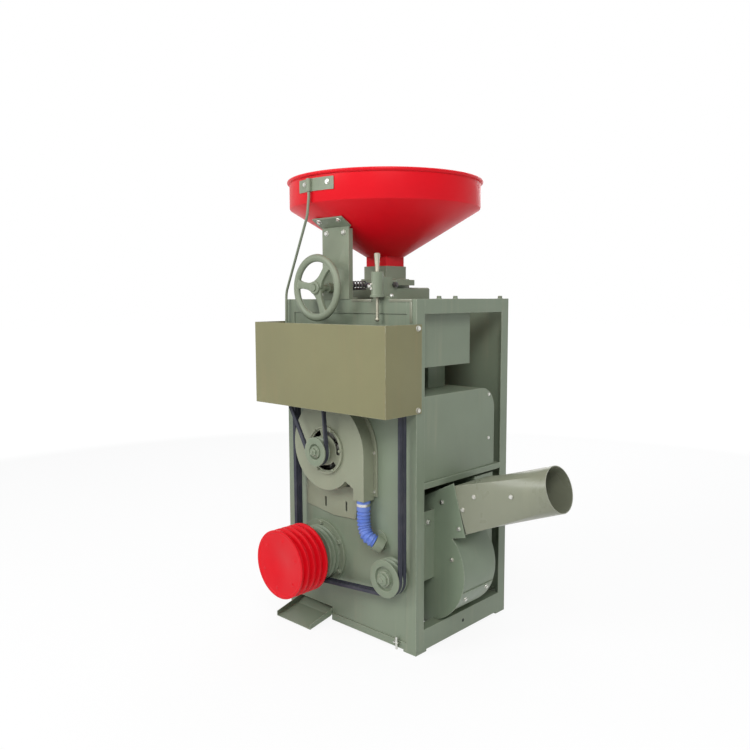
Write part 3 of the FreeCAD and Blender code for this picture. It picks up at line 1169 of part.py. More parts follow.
def husker_cover():
    """Cast lid over the rolls with the square throat that carries the feed gate."""
    body = rounded_box(COVER_X0, CASING_X1, CASING_Y0, CASING_Y1, CASING_Z1, COVER_TOP, 18, 8)
    w = COVER_WALL
    hollow = box(COVER_X0 + w, CASING_X1 - w, CASING_Y0 + w + 7, CASING_Y1 - w - 7, CASING_Z1 - 1, COVER_TOP - w)
    half = COLLAR_FLANGE / 2
    throat = box(HOPPER_X - half, HOPPER_X + half, HOPPER_Y - half, HOPPER_Y + half, COVER_TOP, GATE_Z - SEAT)
    bore = THROAT_BORE / 2
    passage = box(HOPPER_X - bore, HOPPER_X + bore, HOPPER_Y - bore, HOPPER_Y + bore, COVER_TOP - 20, GATE_Z + 5)
    low_part = box(CASING_X0, COVER_X0 + 1, CASING_Y0, CASING_Y1, CASING_Z1, CASING_Z1 + 8)
    return fused([body.cut(hollow), throat, low_part]).cut(passage)


# --- hopper and feed gate -----------------------------------------------------------------------------------------------
def hopper():
    """Spun hopper: rolled rim, upright band, cone and square neck."""
    t = HOPPER_SHEET
    inner_end = CONE_END_R - t
    profile = [(HOPPER_R, BAND_Z), (HOPPER_R, RIM_Z), (HOPPER_R - t, RIM_Z), (HOPPER_R - t, BAND_Z + 1),
               (inner_end, CONE_END_Z + 1), (inner_end, CONE_END_Z - 1), (CONE_END_R, CONE_END_Z - 1),
               (CONE_END_R, CONE_END_Z)]
    shell = turned_z(profile, HOPPER_X, HOPPER_Y)
    bead = Part.makeTorus(HOPPER_R + 2.5, RIM_BEAD_R, V(HOPPER_X, HOPPER_Y, RIM_Z), V(0, 0, 1))
    half = NECK_SIZE / 2
    floor = rod_z(CONE_END_R, HOPPER_X, HOPPER_Y, CONE_END_Z - 3, CONE_END_Z - 1)
    neck = box(HOPPER_X - half, HOPPER_X + half, HOPPER_Y - half, HOPPER_Y + half, NECK_BOTTOM, CONE_END_Z - 1)
    bore = box(HOPPER_X - half + t, HOPPER_X + half - t, HOPPER_Y - half + t, HOPPER_Y + half - t,
               NECK_BOTTOM - 1, CONE_END_Z + 4)
    return fused([shell, bead, floor, neck]).cut(bore)


def hopper_collar():
    """Square socket with a foot flange that holds the hopper's neck above the gate."""
    half, bore = COLLAR_SIZE / 2, NECK_SIZE / 2 + SEAT
    z0 = GATE_Z + GATE_T + SEAT
    outside = box(HOPPER_X - half, HOPPER_X + half, HOPPER_Y - half, HOPPER_Y + half, z0, COLLAR_TOP)
    foot = COLLAR_FLANGE / 2
    flange = box(HOPPER_X - foot, HOPPER_X + foot, HOPPER_Y - foot, HOPPER_Y + foot, z0, z0 + 4)
    upper = box(HOPPER_X - bore, HOPPER_X + bore, HOPPER_Y - bore, HOPPER_Y + bore, NECK_BOTTOM - SEAT, COLLAR_TOP + 1)
    low = THROAT_BORE / 2
    lower = box(HOPPER_X - low, HOPPER_X + low, HOPPER_Y - low, HOPPER_Y + low, z0 - 1, NECK_BOTTOM)
    cheeks = [box(HOPPER_X - foot, HOPPER_X + foot, HOPPER_Y + s * (GATE_WIDTH / 2 + SEAT), HOPPER_Y + s * foot,
                  GATE_Z - SEAT, z0) for s in (-1, 1)]
    return fused([outside, flange] + cheeks).cut([upper, lower])


def feed_gate():
    """Flat slide with a turned-down grip at its right end."""
    half = GATE_WIDTH / 2
    plate = box(GATE_X0, GATE_X1, HOPPER_Y - half, HOPPER_Y + half, GATE_Z, GATE_Z + GATE_T)
    grip = box(GATE_X1 - GATE_T, GATE_X1, HOPPER_Y - half, HOPPER_Y + half, GATE_Z - 18, GATE_Z + GATE_T)
    return fused([plate, grip])


def cone_line(y):
    """Height of the cone's outer face straight in front of the hopper's axis."""
    radius = HOPPER_Y - y
    slope = (BAND_Z - CONE_END_Z) / (HOPPER_R - CONE_END_R)
    return CONE_END_Z + (radius - CONE_END_R) * slope


def hopper_bracket():
    """Upright plate with folded sides, a foot on the top rail and a lip along the cone."""
    t = BRACKET_T
    y0, y1 = BRACKET_Y, BRACKET_Y + t
    slope = math.atan2(BAND_Z - CONE_END_Z, HOPPER_R - CONE_END_R)
    top = cone_line(y0) - t / math.cos(slope) - 2
    plate = box(BRACKET_X0, BRACKET_X1, y0, y1, CABINET_HEIGHT, top)
    sides = [box(x, x + t, y0, y1 + 16, CABINET_HEIGHT, cone_line(y1 + 16) - 2) for x in (BRACKET_X0, BRACKET_X1 - t)]
    foot = box(BRACKET_X0, BRACKET_X1, y0, -HALF_D + 40, CABINET_HEIGHT, CABINET_HEIGHT + 6)
    lip_end = y0 - 44
    drop = (SEAT + t) / math.cos(slope)
    near = SEAT / math.cos(slope)
    lip = prism_x([(y1, cone_line(y1) - drop), (lip_end, cone_line(lip_end) - drop),
                   (lip_end, cone_line(lip_end) - near), (y1, cone_line(y1) - near)], BRACKET_X0 - 8, BRACKET_X1 + 8)
    boss = rod_y(WHEEL_SHAFT_R + 8, WHEEL_X, WHEEL_Z, y0 - 24, y1 + 24)
    bore = rod_y(WHEEL_SHAFT_R + RUN, WHEEL_X, WHEEL_Z, y0 - 30, y1 + 40)
    stem = box(BRACKET_X0, BRACKET_X1, y0, y1, top - 1, cone_line(y1) - drop)
    return fused([plate, foot, lip, boss, stem] + sides).cut(bore)


def stay_clip():
    """Arched strap on the hopper's band with a bulge over the stay rod's end."""
    r0 = HOPPER_R + SEAT
    strap = turned_z([(r0, CLIP_Z0), (r0 + CLIP_T, CLIP_Z0), (r0 + CLIP_T, CLIP_Z1), (r0, CLIP_Z1)], HOPPER_X, HOPPER_Y)
    reach = 2 * HOPPER_R
    dx, dy = reach * math.sin(CLIP_HALF_ANGLE), -reach * math.cos(CLIP_HALF_ANGLE)
    wedge = Part.makePolygon([V(HOPPER_X, HOPPER_Y, 0), V(HOPPER_X - dx, HOPPER_Y + dy, 0),
                              V(HOPPER_X + dx, HOPPER_Y + dy, 0), V(HOPPER_X, HOPPER_Y, 0)])
    strap = strap.common(Part.Face(wedge).extrude(V(0, 0, 2 * CABINET_HEIGHT)))
    bulge = rod_z(STAY_R + 4, STAY_X, stay_y(), CLIP_Z0, CLIP_Z1)
    bulge = bulge.cut(rod_z(r0, HOPPER_X, HOPPER_Y, CLIP_Z0 - 1, CLIP_Z1 + 1))
    return fused([strap, bulge]).cut(rod_z(STAY_R + RUN, STAY_X, stay_y(), CLIP_Z0 - 1, CLIP_Z1 + 1))


def stay_y():
    """The rod runs just in front of the strap."""
    offset = STAY_X - HOPPER_X
    return HOPPER_Y - math.sqrt((HOPPER_R + SEAT + CLIP_T) ** 2 - offset * offset) - STAY_R - 1


def stay_rod():
    """Bent bar from the strap down to the left front post."""
    x = -HALF_W + 13
    y = -HALF_D - 16
    foot_z = TOP - 130
    points = [V(STAY_X, stay_y(), CLIP_Z1), V(STAY_X, stay_y(), CLIP_Z0 - 17), V(STAY_X - 9, stay_y(), CLIP_Z0 - 85),
              V(x + 3, y, TOP + 26), V(x, y, foot_z + 2)]
    rod = bent_rod(points, STAY_R, 55)
    foot = box(x - 7, x + 7, -HALF_D - 22, -HALF_D - SEAT, foot_z, foot_z + 22)
    return fused([rod, foot])


# --- handwheel, post and tie ----------------------------------------------------------------------------------------------
def handwheel():
    """Cast wheel: round rim, three flat spokes and a hub."""
    rim = Part.makeTorus(WHEEL_R, WHEEL_RIM_R, V(WHEEL_X, WHEEL_Y, WHEEL_Z), V(0, 1, 0))
    hub = rod_y(24, WHEEL_X, WHEEL_Z, WHEEL_Y - 16, WHEEL_Y + 22)
    parts = [rim, hub]
    for angle in (52, 172, 292):
        spoke = prism_y([(15, -15), (60, -10), (WHEEL_R, -17), (WHEEL_R, 17), (60, 10), (15, 15)], -6, 6)
        spoke.rotate(V(0, 0, 0), V(0, -1, 0), angle)
        spoke.translate(V(WHEEL_X, WHEEL_Y, WHEEL_Z))
        parts.append(spoke)
    return fused(parts).cut(rod_y(WHEEL_SHAFT_R + RUN, WHEEL_X, WHEEL_Z, WHEEL_Y - 30, WHEEL_Y + 30))


def handwheel_shaft():
    ex, ez = eccentric_centre()
    return fused([rod_y(WHEEL_SHAFT_R, WHEEL_X, WHEEL_Z, WHEEL_Y - 20, ARM_BACK + 4),
                  rod_y(ECCENTRIC_R, ex, ez, ARM_FRONT, ARM_BACK)])


def cast_post():
    """Bored pillar in front of the top rail, with its foot and the tie rod's lug."""
    boss = rod_z(POST_R, POST_X, POST_Y, POST_BOTTOM, POST_TOP)
    base = rod_z(POST_R + 4, POST_X, POST_Y, POST_BOTTOM, POST_BOTTOM + 8)
    foot = box(POST_X - 40, POST_X + 40, -HALF_D + 4, -HALF_D + 44, CABINET_HEIGHT, CABINET_HEIGHT + 10)
    web = box(POST_X - 14, POST_X + 14, POST_Y, -HALF_D + 44, POST_BOTTOM, POST_TOP - 18)
    lug = box(POST_X - 14, POST_X + 14, -HALF_D + 40, TIE_Y + 16, CABINET_HEIGHT + 1, TIE_Z + 16)
    bore = rod_z(PIN_R + RUN, POST_X, POST_Y, POST_BOTTOM - 1, POST_TOP + 1)
    tie = rod_x(TIE_R + RUN, POST_X - 40, POST_X + 40, TIE_Y, TIE_Z)
    return fused([boss, base, foot, web, lug]).cut([bore, tie])


def release_pin():
    """Lifting pin in the post: tapered grip above, ball below."""
    z0 = POST_TOP + SEAT
    grip = Part.makeCone(6.5, 11, PIN_KNOB_TOP - z0 - 3, V(POST_X, POST_Y, z0))
    cap = Part.makeCone(11, 8, 3, V(POST_X, POST_Y, PIN_KNOB_TOP - 3))
    ball = Part.makeSphere(7.5, V(POST_X, POST_Y, PIN_END_Z))
    return fused([rod_z(PIN_R, POST_X, POST_Y, PIN_END_Z, z0 + 5), grip, cap, ball])


def pressure_tie():
    """Rod from the cast post through the arm's lug, with its nuts and the pressure spring."""
    rod = rod_x(TIE_R, TIE_LUG_X - 12, POST_X + 30, TIE_Y, TIE_Z)
    nut_x = POST_X - 126
    nut = hexagon_x(nut_x, nut_x + 10, 12)
    lock = hexagon_x(POST_X - 26, POST_X - 14 - SEAT, 11)
    end = hexagon_x(POST_X + 14 + SEAT, POST_X + 26, 11)
    return group([fused([rod, nut, lock, end]), pressure_spring(nut_x - SEAT)])


def hexagon_x(x0, x1, radius):
    points = [(TIE_Y + radius * math.cos(math.radians(60 * k)), TIE_Z + radius * math.sin(math.radians(60 * k)))
              for k in range(6)]
    return prism_x(points, x0, x1)


def pressure_spring(end_x):
    """Coil spring wound round the tie between its nut and the arm's lug."""
    wire, coil = 2.4, 15.0
    start_x = TIE_LUG_X + SEAT
    length = end_x - start_x - 2 * wire
    turns = 5
    helix = Part.makeHelix(length / turns, length, coil)
    section = Part.makeCircle(wire, V(coil, 0, 0), V(0, 1, 0))
    spring = Part.Wire(helix).makePipeShell([Part.Wire([section])], True, True)
    spring.rotate(V(0, 0, 0), V(0, 1, 0), 90)
    spring.translate(V(start_x + wire, TIE_Y, TIE_Z))
    return spring


# --- idler ------------------------------------------------------------------------------------------------------------------
def idler_pin():
    """Stub axle standing on a round foot that is bolted to the panel."""
    front, back = pulley_faces()
    pin = rod_y(IDLER_PIN_R, IDLER_X, IDLER_Z, front - 8, PANEL_FRONT)
    shoulder = rod_y(IDLER_PIN_R + 8, IDLER_X, IDLER_Z, back + SEAT, PANEL_FRONT)
    foot = rod_y(IDLER_PIN_R + 32, IDLER_X, IDLER_Z, PANEL_FRONT - 6, PANEL_FRONT)
    return fused([pin, shoulder, foot])


def idler_pulley():
    return two_groove_pulley(IDLER_X, IDLER_Z, IDLER_R, IDLER_PIN_R + RUN, IDLER_R - 24)


NODES = [
    corner_posts, frame_rails, front_panel, closing_panels, belt_guard, main_belts, blower_belt,
    flange_bearings, main_shaft, drive_pulley, main_pulley, milling_roller, bearing_housing, mill_body,
    mill_screen, outlet_gate, bran_hopper, mill_feed_chute, rice_chute, separator_housing,
    aspiration_box, fan_scroll, fan_front_plate, fan_duct, suction_duct, fan_bracket, fan_shaft,
    fan_pulley, fan_impeller, blower_casing, blower_cover, blower_shaft, blower_pulley, blower_impeller,
    air_hose, hose_elbow, fixed_gear, moving_gear, fixed_roll, moving_roll, fixed_roll_shaft,
    moving_roll_shaft, roll_pulley, blower_drive_pulley, roll_arms, husker_casing, husker_cover, hopper,
    hopper_collar, feed_gate, hopper_bracket, stay_clip, stay_rod, handwheel, handwheel_shaft, cast_post,
    release_pin, pressure_tie, idler_pin, idler_pulley,
]

os.makedirs("parts", exist_ok=True)
for make in NODES:
    shape = make()
    shape.exportStep("parts/%s.step" % make.__name__)
    print("%-22s solids %2d  volume %12.0f  valid %s" % (make.__name__, len(shape.Solids), shape.Volume, shape.isValid()))
print(len(NODES), "nodes")
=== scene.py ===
# %% [markdown]
# # A belt-driven rice huller
# The machine is a steel cabinet with a round red hopper on top, a sheet guard over the belts,
# a cast blower under it and a husk fan at the right. The frame that comes from the CAD model
# already has every piece in its place. This lesson gives each piece the softened edges, bolts,
# paint and wear of the real machine. Everything is in metres, with Z up.

import bmesh
import bpy
import json
import math
from mathutils import Matrix, Vector

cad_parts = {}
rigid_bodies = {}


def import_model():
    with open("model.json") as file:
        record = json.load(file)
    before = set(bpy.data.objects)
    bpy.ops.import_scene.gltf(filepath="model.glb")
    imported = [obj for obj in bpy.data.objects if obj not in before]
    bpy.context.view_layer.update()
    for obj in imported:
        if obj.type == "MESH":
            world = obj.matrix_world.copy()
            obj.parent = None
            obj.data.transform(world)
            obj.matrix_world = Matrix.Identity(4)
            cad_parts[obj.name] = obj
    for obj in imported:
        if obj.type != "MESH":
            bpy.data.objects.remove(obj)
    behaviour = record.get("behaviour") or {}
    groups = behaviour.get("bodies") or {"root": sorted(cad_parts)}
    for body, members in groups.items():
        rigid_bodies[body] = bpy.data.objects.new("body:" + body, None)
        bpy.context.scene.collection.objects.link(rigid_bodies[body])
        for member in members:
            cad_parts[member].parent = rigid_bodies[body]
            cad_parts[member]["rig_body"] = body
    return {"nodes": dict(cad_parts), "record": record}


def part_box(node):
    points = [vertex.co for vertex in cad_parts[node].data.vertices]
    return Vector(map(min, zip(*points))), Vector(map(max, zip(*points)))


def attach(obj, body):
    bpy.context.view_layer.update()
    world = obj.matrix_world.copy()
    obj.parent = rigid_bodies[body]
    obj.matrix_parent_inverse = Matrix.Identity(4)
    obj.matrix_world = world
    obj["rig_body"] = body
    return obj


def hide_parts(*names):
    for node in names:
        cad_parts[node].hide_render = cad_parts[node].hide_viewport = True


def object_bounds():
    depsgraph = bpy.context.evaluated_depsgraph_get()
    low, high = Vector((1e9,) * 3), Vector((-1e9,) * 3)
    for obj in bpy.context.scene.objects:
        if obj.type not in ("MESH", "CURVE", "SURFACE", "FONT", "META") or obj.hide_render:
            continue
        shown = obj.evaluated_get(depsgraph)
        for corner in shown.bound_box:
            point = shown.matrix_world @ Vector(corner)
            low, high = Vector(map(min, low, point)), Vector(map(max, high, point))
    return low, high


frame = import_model()
cad_low, cad_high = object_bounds()
nodes = frame["nodes"]
slot_of = {part["node"]: part["material_slot"] for part in frame["record"]["subparts"]}
body_of = {name: obj["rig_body"] for name, obj in nodes.items()}

# %% [markdown]
# ## Camera
# The machine is seen from its front right corner, a little below the hopper's rim, from about
# three metres. A camera could be aimed with a Track To constraint, but three plain turns are
# easier to read: first the lens is raised from looking down to looking level, then it is turned
# round the upright axis.

# %% Camera
EYE = Vector((2.0077, -2.2608, 1.2835))
TURN_LEFT = math.radians(43.27)
TILT_UP = math.radians(-5.851)
ROLL = math.radians(-0.186)
LENS_MM = 36.04

camera_data = bpy.data.cameras.new("camera")
camera_data.lens = LENS_MM
camera_data.sensor_width = 36.0
camera_data.clip_end = 100.0
camera = bpy.data.objects.new("camera", camera_data)
camera.matrix_world = (Matrix.Translation(EYE) @ Matrix.Rotation(TURN_LEFT, 4, "Z")
                       @ Matrix.Rotation(math.pi / 2 + TILT_UP, 4, "X") @ Matrix.Rotation(ROLL, 4, "Z"))
bpy.context.scene.collection.objects.link(camera)
bpy.context.scene.camera = camera
bpy.context.scene.view_settings.view_transform = "Standard"
print("camera at", tuple(EYE), "lens", LENS_MM)

# %% [markdown]
# ## A small kit for node trees
# A material in Blender is a graph of nodes, and writing out each link by hand hides what the
# graph does. These few helpers name the operations that all of the finishes use: a noise, a
# blend of two colours, a sum, and a range that turns a smooth noise into a mask with soft edges.


# %% Helpers for node trees
class Net:
    """Adds nodes to one tree; an input is given as a plain value or as another node's socket."""

    def __init__(self, tree):
        self.tree = tree

    def feed(self, socket, value):
        if isinstance(value, bpy.types.NodeSocket):
            self.tree.links.new(value, socket)
        else:
            socket.default_value = value

    def add(self, kind, inputs=(), **settings):
        made = self.tree.nodes.new("ShaderNode" + kind)
        for name, value in settings.items():
            setattr(made, name, value)
        for name, value in dict(inputs).items():
            self.feed(made.inputs[name], value)
        return made

    def math(self, operation, a, b=0.0, clamp=False):
        made = self.add("Math", {0: a, 1: b}, operation=operation, use_clamp=clamp)
        return made.outputs[0]

    def blend(self, factor, a, b):
        made = self.tree.nodes.new("ShaderNodeMix")
        made.data_type = "RGBA"
        for index, value in ((0, factor), (6, a), (7, b)):
            self.feed(made.inputs[index], value)
        return made.outputs[2]

    def noise(self, where, scale, detail=2.0, roughness=0.5):
        inputs = {"Vector": where, "Scale": scale, "Detail": detail, "Roughness": roughness}
        return self.add("TexNoise", inputs).outputs["Fac"]

    def mask(self, value, low, high):
        made = self.add("MapRange", {"Value": value, "From Min": low, "From Max": high}, clamp=True)
        return made.outputs["Result"]

    def stretch(self, where, scale):
        return self.add("Mapping", {"Vector": where, "Scale": scale}).outputs["Vector"]


def shader_group(name, inputs, outputs):
    """A node group with named sockets, each given as (name, kind, default)."""
    tree = bpy.data.node_groups.new(name, "ShaderNodeTree")
    for label, kind, value in inputs:
        made = tree.interface.new_socket(label, in_out="INPUT", socket_type="NodeSocket" + kind)
        made.default_value = value
    for label, kind in outputs:
        tree.interface.new_socket(label, in_out="OUTPUT", socket_type="NodeSocket" + kind)
    return tree, tree.nodes.new("NodeGroupInput").outputs, tree.nodes.new("NodeGroupOutput").inputs


def colour(red, green, blue):
    """A colour written as 0 to 255 on a screen, turned into the linear values that nodes use."""
    def linear(value):
        value /= 255
        return value / 12.92 if value <= 0.04045 else ((value + 0.055) / 1.055) ** 2.4
    return (linear(red), linear(green), linear(blue), 1.0)


print("node helpers ready")

# %% [markdown]
# ## Floor, sky and lamps
# The machine stands on a plain pale floor in soft studio light. The floor and the sky show white
# to the camera and to polished metal by Light Path, so no extra light is needed for a white
# background, and a part of the floor's plain shading stays to keep the shadow.


# %% Floor, sky and lamps
def sees_background(net):
    """1 for rays from the camera and for mirror-like and clear rays, 0 for all others."""
    path = net.add("LightPath").outputs
    either = net.math("MAXIMUM", path["Is Camera Ray"], path["Is Glossy Ray"])
    return net.math("MAXIMUM", either, path["Is Transmission Ray"])


SKY_LIGHT = 0.30
FLOOR_WHITE_SHARE = 0.87          # beside the machine, where the shadow falls
FLOOR_GLOW = 1.03
WHITE_FROM, WHITE_AT = 1.6, 4.5   # distances over which the floor fades to plain white
world = bpy.data.worlds.new("studio")
world.use_nodes = True
world.node_tree.nodes.clear()
sky = Net(world.node_tree)
plain = sky.add("Background", {"Color": (0.93, 0.96, 1.0, 1.0), "Strength": SKY_LIGHT})
white = sky.add("Background", {"Color": (1.0, 1.0, 1.0, 1.0), "Strength": 1.0})
both = sky.add("MixShader", {0: sees_background(sky), 1: plain.outputs[0], 2: white.outputs[0]})
sky.add("OutputWorld", {"Surface": both.outputs[0]})
bpy.context.scene.world = world

floor_mesh = bmesh.new()
bmesh.ops.create_grid(floor_mesh, x_segments=1, y_segments=1, size=30.0,
                      matrix=Matrix.Translation((0, 0, cad_low.z - 0.0005)))
floor_data = bpy.data.meshes.new("floor")
floor_mesh.to_mesh(floor_data)
floor_mesh.free()
floor = bpy.data.objects.new("floor", floor_data)
bpy.context.scene.collection.objects.link(floor)
floor_material = bpy.data.materials.new("floor_white")
floor_material.use_nodes = True
floor_material.node_tree.nodes.clear()
ground = Net(floor_material.node_tree)
matt = ground.add("BsdfDiffuse", {"Color": (0.86, 0.86, 0.86, 1.0)})
glow = ground.add("Emission", {"Color": (1.0, 1.0, 1.0, 1.0), "Strength": FLOOR_GLOW})
from_middle = ground.add("TexCoord").outputs["Object"]
distance = ground.add("VectorMath", {0: from_middle}, operation="LENGTH").outputs["Value"]
far_off = ground.mask(distance, WHITE_FROM, WHITE_AT)
whiteness = ground.math("MAXIMUM", far_off, FLOOR_WHITE_SHARE)
share = ground.math("MULTIPLY", sees_background(ground), whiteness)
mixed = ground.add("MixShader", {0: share, 1: matt.outputs[0], 2: glow.outputs[0]})
ground.add("OutputMaterial", {"Surface": mixed.outputs[0]})
floor_data.materials.append(floor_material)


def area_lamp(name, place, power, size):
    """A square soft box aimed at the middle of the machine."""
    data = bpy.data.lights.new(name, "AREA")
    data.energy = power
    data.size = size
    lamp = bpy.data.objects.new(name, data)
    target = (cad_low + cad_high) / 2
    lamp.location = place
    lamp.rotation_euler = (target - Vector(place)).to_track_quat("-Z", "Y").to_euler()
    bpy.context.scene.collection.objects.link(lamp)
    print("lamp", name, power, "W")


area_lamp("key_front_left", (-1.6, -4.6, 3.4), 104.0, 2.4)
area_lamp("fill_front_right", (3.2, -3.4, 4.0), 122.0, 2.0)
area_lamp("top", (0.2, 0.6, 4.9), 30.0, 3.0)
area_lamp("rim_back", (-1.5, 4.2, 3.0), 60.0, 3.0)

# %% [markdown]
# ## Aged machine paint
# Workshop paint on sheet steel is never one flat colour. It is a little lighter and darker in
# broad patches, dust runs down the upright faces, grains of dirt stick to it, and it is rubbed
# through to primer along the edges. The pale colour along the edges is partly that wear and partly
# a painted highlight, the line of light that a bent or cut edge catches. Both could be painted by
# hand, but a Bevel node finds the edges by itself: where its softened normal leaves the true one,
# an edge is near.
# One group holds all of this and each paint sets its own amounts.

# %% Node group: aged paint
paint_tree, paint_in, paint_out = shader_group(
    "aged_paint",
    [("Paint", "Color", colour(130, 150, 128)), ("Under", "Color", colour(96, 92, 84)),
     ("Edge", "Color", colour(182, 186, 166)), ("Dust", "Color", colour(166, 164, 140)),
     ("Mottle", "Float", 0.12), ("Streaks", "Float", 0.25),
     ("Specks", "Float", 0.5), ("Edge Wear", "Float", 0.6), ("Gloss", "Float", 0.45),
     ("Peel", "Float", 0.4), ("Cast Grain", "Float", 0.0)],
    [("Color", "Color"), ("Roughness", "Float"), ("Height", "Float")])
net = Net(paint_tree)
place = net.add("TexCoord").outputs["Object"]
true_normal = net.add("NewGeometry").outputs["Normal"]
soft_normal = net.add("Bevel", {"Radius": 0.0032}, samples=4).outputs["Normal"]
normals = {0: true_normal, 1: soft_normal}
closeness = net.add("VectorMath", normals, operation="DOT_PRODUCT").outputs["Value"]
# Near an edge the paint turns to the pale Edge colour, partly rubbed through and partly a painted
# highlight.
edge = net.mask(closeness, 0.998, 0.93)
ragged = net.mask(net.noise(place, 46.0, 3.0, 0.65), 0.30, 0.60)
edge_wear_and_highlight = net.math("MULTIPLY", net.math("MULTIPLY", edge, ragged), paint_in["Edge Wear"], clamp=True)

patches = net.noise(place, 3.2, 3.0, 0.6)
cloud = net.math("MULTIPLY", net.math("SUBTRACT", patches, 0.5), paint_in["Mottle"])
shade = net.math("ADD", 1.0, net.math("MULTIPLY", cloud, 2.0))
tinted = net.add("VectorMath", {0: paint_in["Paint"], "Scale": shade}, operation="SCALE").outputs["Vector"]

runs = net.noise(net.stretch(place, (26.0, 26.0, 1.7)), 1.0, 4.0, 0.6)
wide = net.noise(place, 5.5, 2.0, 0.5)
streak = net.math("MULTIPLY", net.mask(runs, 0.50, 0.74), net.mask(wide, 0.36, 0.66))
dusty = net.math("MULTIPLY", streak, paint_in["Streaks"], clamp=True)
dusted = net.blend(dusty, tinted, paint_in["Dust"])

grains = net.noise(place, 240.0, 2.0, 0.7)
speck = net.math("MULTIPLY", net.mask(grains, 0.70, 0.76), paint_in["Specks"], clamp=True)
chips = net.math("MAXIMUM", speck, edge_wear_and_highlight)
speckled = net.blend(speck, dusted, paint_in["Under"])
# The pale edge colour: wear and painted highlight.
paint_tree.links.new(net.blend(edge_wear_and_highlight, speckled, paint_in["Edge"]), paint_out["Color"])

rub = net.math("MULTIPLY", net.math("SUBTRACT", net.noise(place, 14.0, 3.0), 0.5), 0.22)
rough = net.math("ADD", net.math("ADD", paint_in["Gloss"], rub), net.math("MULTIPLY", dusty, 0.25))
rough = net.math("ADD", rough, net.math("MULTIPLY", chips, 0.2), clamp=True)
paint_tree.links.new(rough, paint_out["Roughness"])

peel = net.math("MULTIPLY", net.noise(place, 160.0, 1.0), paint_in["Peel"])
sand = net.math("MULTIPLY", net.noise(place, 420.0, 3.0, 0.7), paint_in["Cast Grain"])
lumps = net.math("MULTIPLY", net.noise(place, 38.0, 2.0), net.math("MULTIPLY", paint_in["Cast Grain"], 2.0))
relief = net.math("ADD", peel, net.math("ADD", sand, lumps))
paint_tree.links.new(net.math("SUBTRACT", relief, net.math("MULTIPLY", chips, 0.5)), paint_out["Height"])
print("group aged_paint:", len(paint_tree.nodes), "nodes")

# %% [markdown]
# ## Worked metal and rubber
# Shafts, screens and bolt heads are bare steel with fine tool marks, and rough iron is darker and
# sandy. Both are one group with a different grain. Belts, rolls and the hose are rubber or
# plastic: matt, with rubbed lighter patches and a fine dust.

# %% Node groups: bare metal, rubber
metal_tree, metal_in, metal_out = shader_group(
    "bare_metal",
    [("Metal", "Color", colour(176, 176, 172)), ("Stain", "Color", colour(104, 92, 76)),
     ("Stains", "Float", 0.35), ("Gloss", "Float", 0.3), ("Marks", "Float", 0.4), ("Sand", "Float", 0.0)],
    [("Color", "Color"), ("Roughness", "Float"), ("Height", "Float")])
net = Net(metal_tree)
place = net.add("TexCoord").outputs["Object"]
blot = net.math("MULTIPLY", net.mask(net.noise(place, 24.0, 4.0, 0.65), 0.48, 0.72), metal_in["Stains"])
metal_tree.links.new(net.blend(blot, metal_in["Metal"], metal_in["Stain"]), metal_out["Color"])
lines = net.noise(net.stretch(place, (60.0, 900.0, 60.0)), 1.0, 2.0)
sandy = net.noise(place, 380.0, 3.0, 0.7)
wander = net.math("MULTIPLY", net.math("SUBTRACT", lines, 0.5), 0.2)
rough = net.math("ADD", metal_in["Gloss"], net.math("ADD", wander, net.math("MULTIPLY", blot, 0.35)))
metal_tree.links.new(rough, metal_out["Roughness"])
marks = net.math("MULTIPLY", lines, metal_in["Marks"])
relief = net.math("ADD", marks, net.math("MULTIPLY", sandy, metal_in["Sand"]))
metal_tree.links.new(relief, metal_out["Height"])

rubber_tree, rubber_in, rubber_out = shader_group(
    "soft_polymer",
    [("Base", "Color", colour(40, 42, 50)), ("Rubbed", "Color", colour(92, 90, 86)),
     ("Rub", "Float", 0.4), ("Gloss", "Float", 0.65), ("Texture", "Float", 0.5)],
    [("Color", "Color"), ("Roughness", "Float"), ("Height", "Float")])
net = Net(rubber_tree)
place = net.add("TexCoord").outputs["Object"]
worn = net.math("MULTIPLY", net.mask(net.noise(place, 18.0, 4.0, 0.6), 0.42, 0.74), rubber_in["Rub"])
dust = net.mask(net.noise(place, 210.0, 2.0, 0.7), 0.58, 0.72)
powder = net.math("MULTIPLY", dust, net.math("MULTIPLY", rubber_in["Rub"], 0.6))
light = net.math("MAXIMUM", worn, powder)
rubber_tree.links.new(net.blend(light, rubber_in["Base"], rubber_in["Rubbed"]), rubber_out["Color"])
rough = net.math("ADD", rubber_in["Gloss"], net.math("MULTIPLY", light, 0.25), clamp=True)
rubber_tree.links.new(rough, rubber_out["Roughness"])
relief = net.math("MULTIPLY", net.noise(place, 300.0, 3.0), rubber_in["Texture"])
rubber_tree.links.new(relief, rubber_out["Height"])
print("groups bare_metal and soft_polymer ready")

# %% [markdown]
# ## The finishes
# Each finish of the machine places one of the groups in its own material and sets the amounts:
# more grain for castings, more gloss for the red paint, dust on the frame. What is the same all
# over a surface, such as being metal or the strength of a clear coat, is set on the shader itself.


# %% Materials
def finish(name, group, amounts, bump_mm=0.15, **shader_values):
    """A material whose colour, roughness and relief come from a group."""
    material = bpy.data.materials.new(name)
    material.use_nodes = True
    kit = Net(material.node_tree)
    shader = material.node_tree.nodes["Principled BSDF"]
    placed = material.node_tree.nodes.new("ShaderNodeGroup")
    placed.node_tree = group
    for label, value in amounts.items():
        placed.inputs[label].default_value = value
    bump = kit.add("Bump", {"Height": placed.outputs["Height"], "Distance": bump_mm / 1000,
                            "Strength": 1.0})
    kit.feed(shader.inputs["Base Color"], placed.outputs["Color"])
    kit.feed(shader.inputs["Roughness"], placed.outputs["Roughness"])
    kit.feed(shader.inputs["Normal"], bump.outputs["Normal"])
    for label, value in shader_values.items():
        shader.inputs[label.replace("_", " ")].default_value = value
    return material


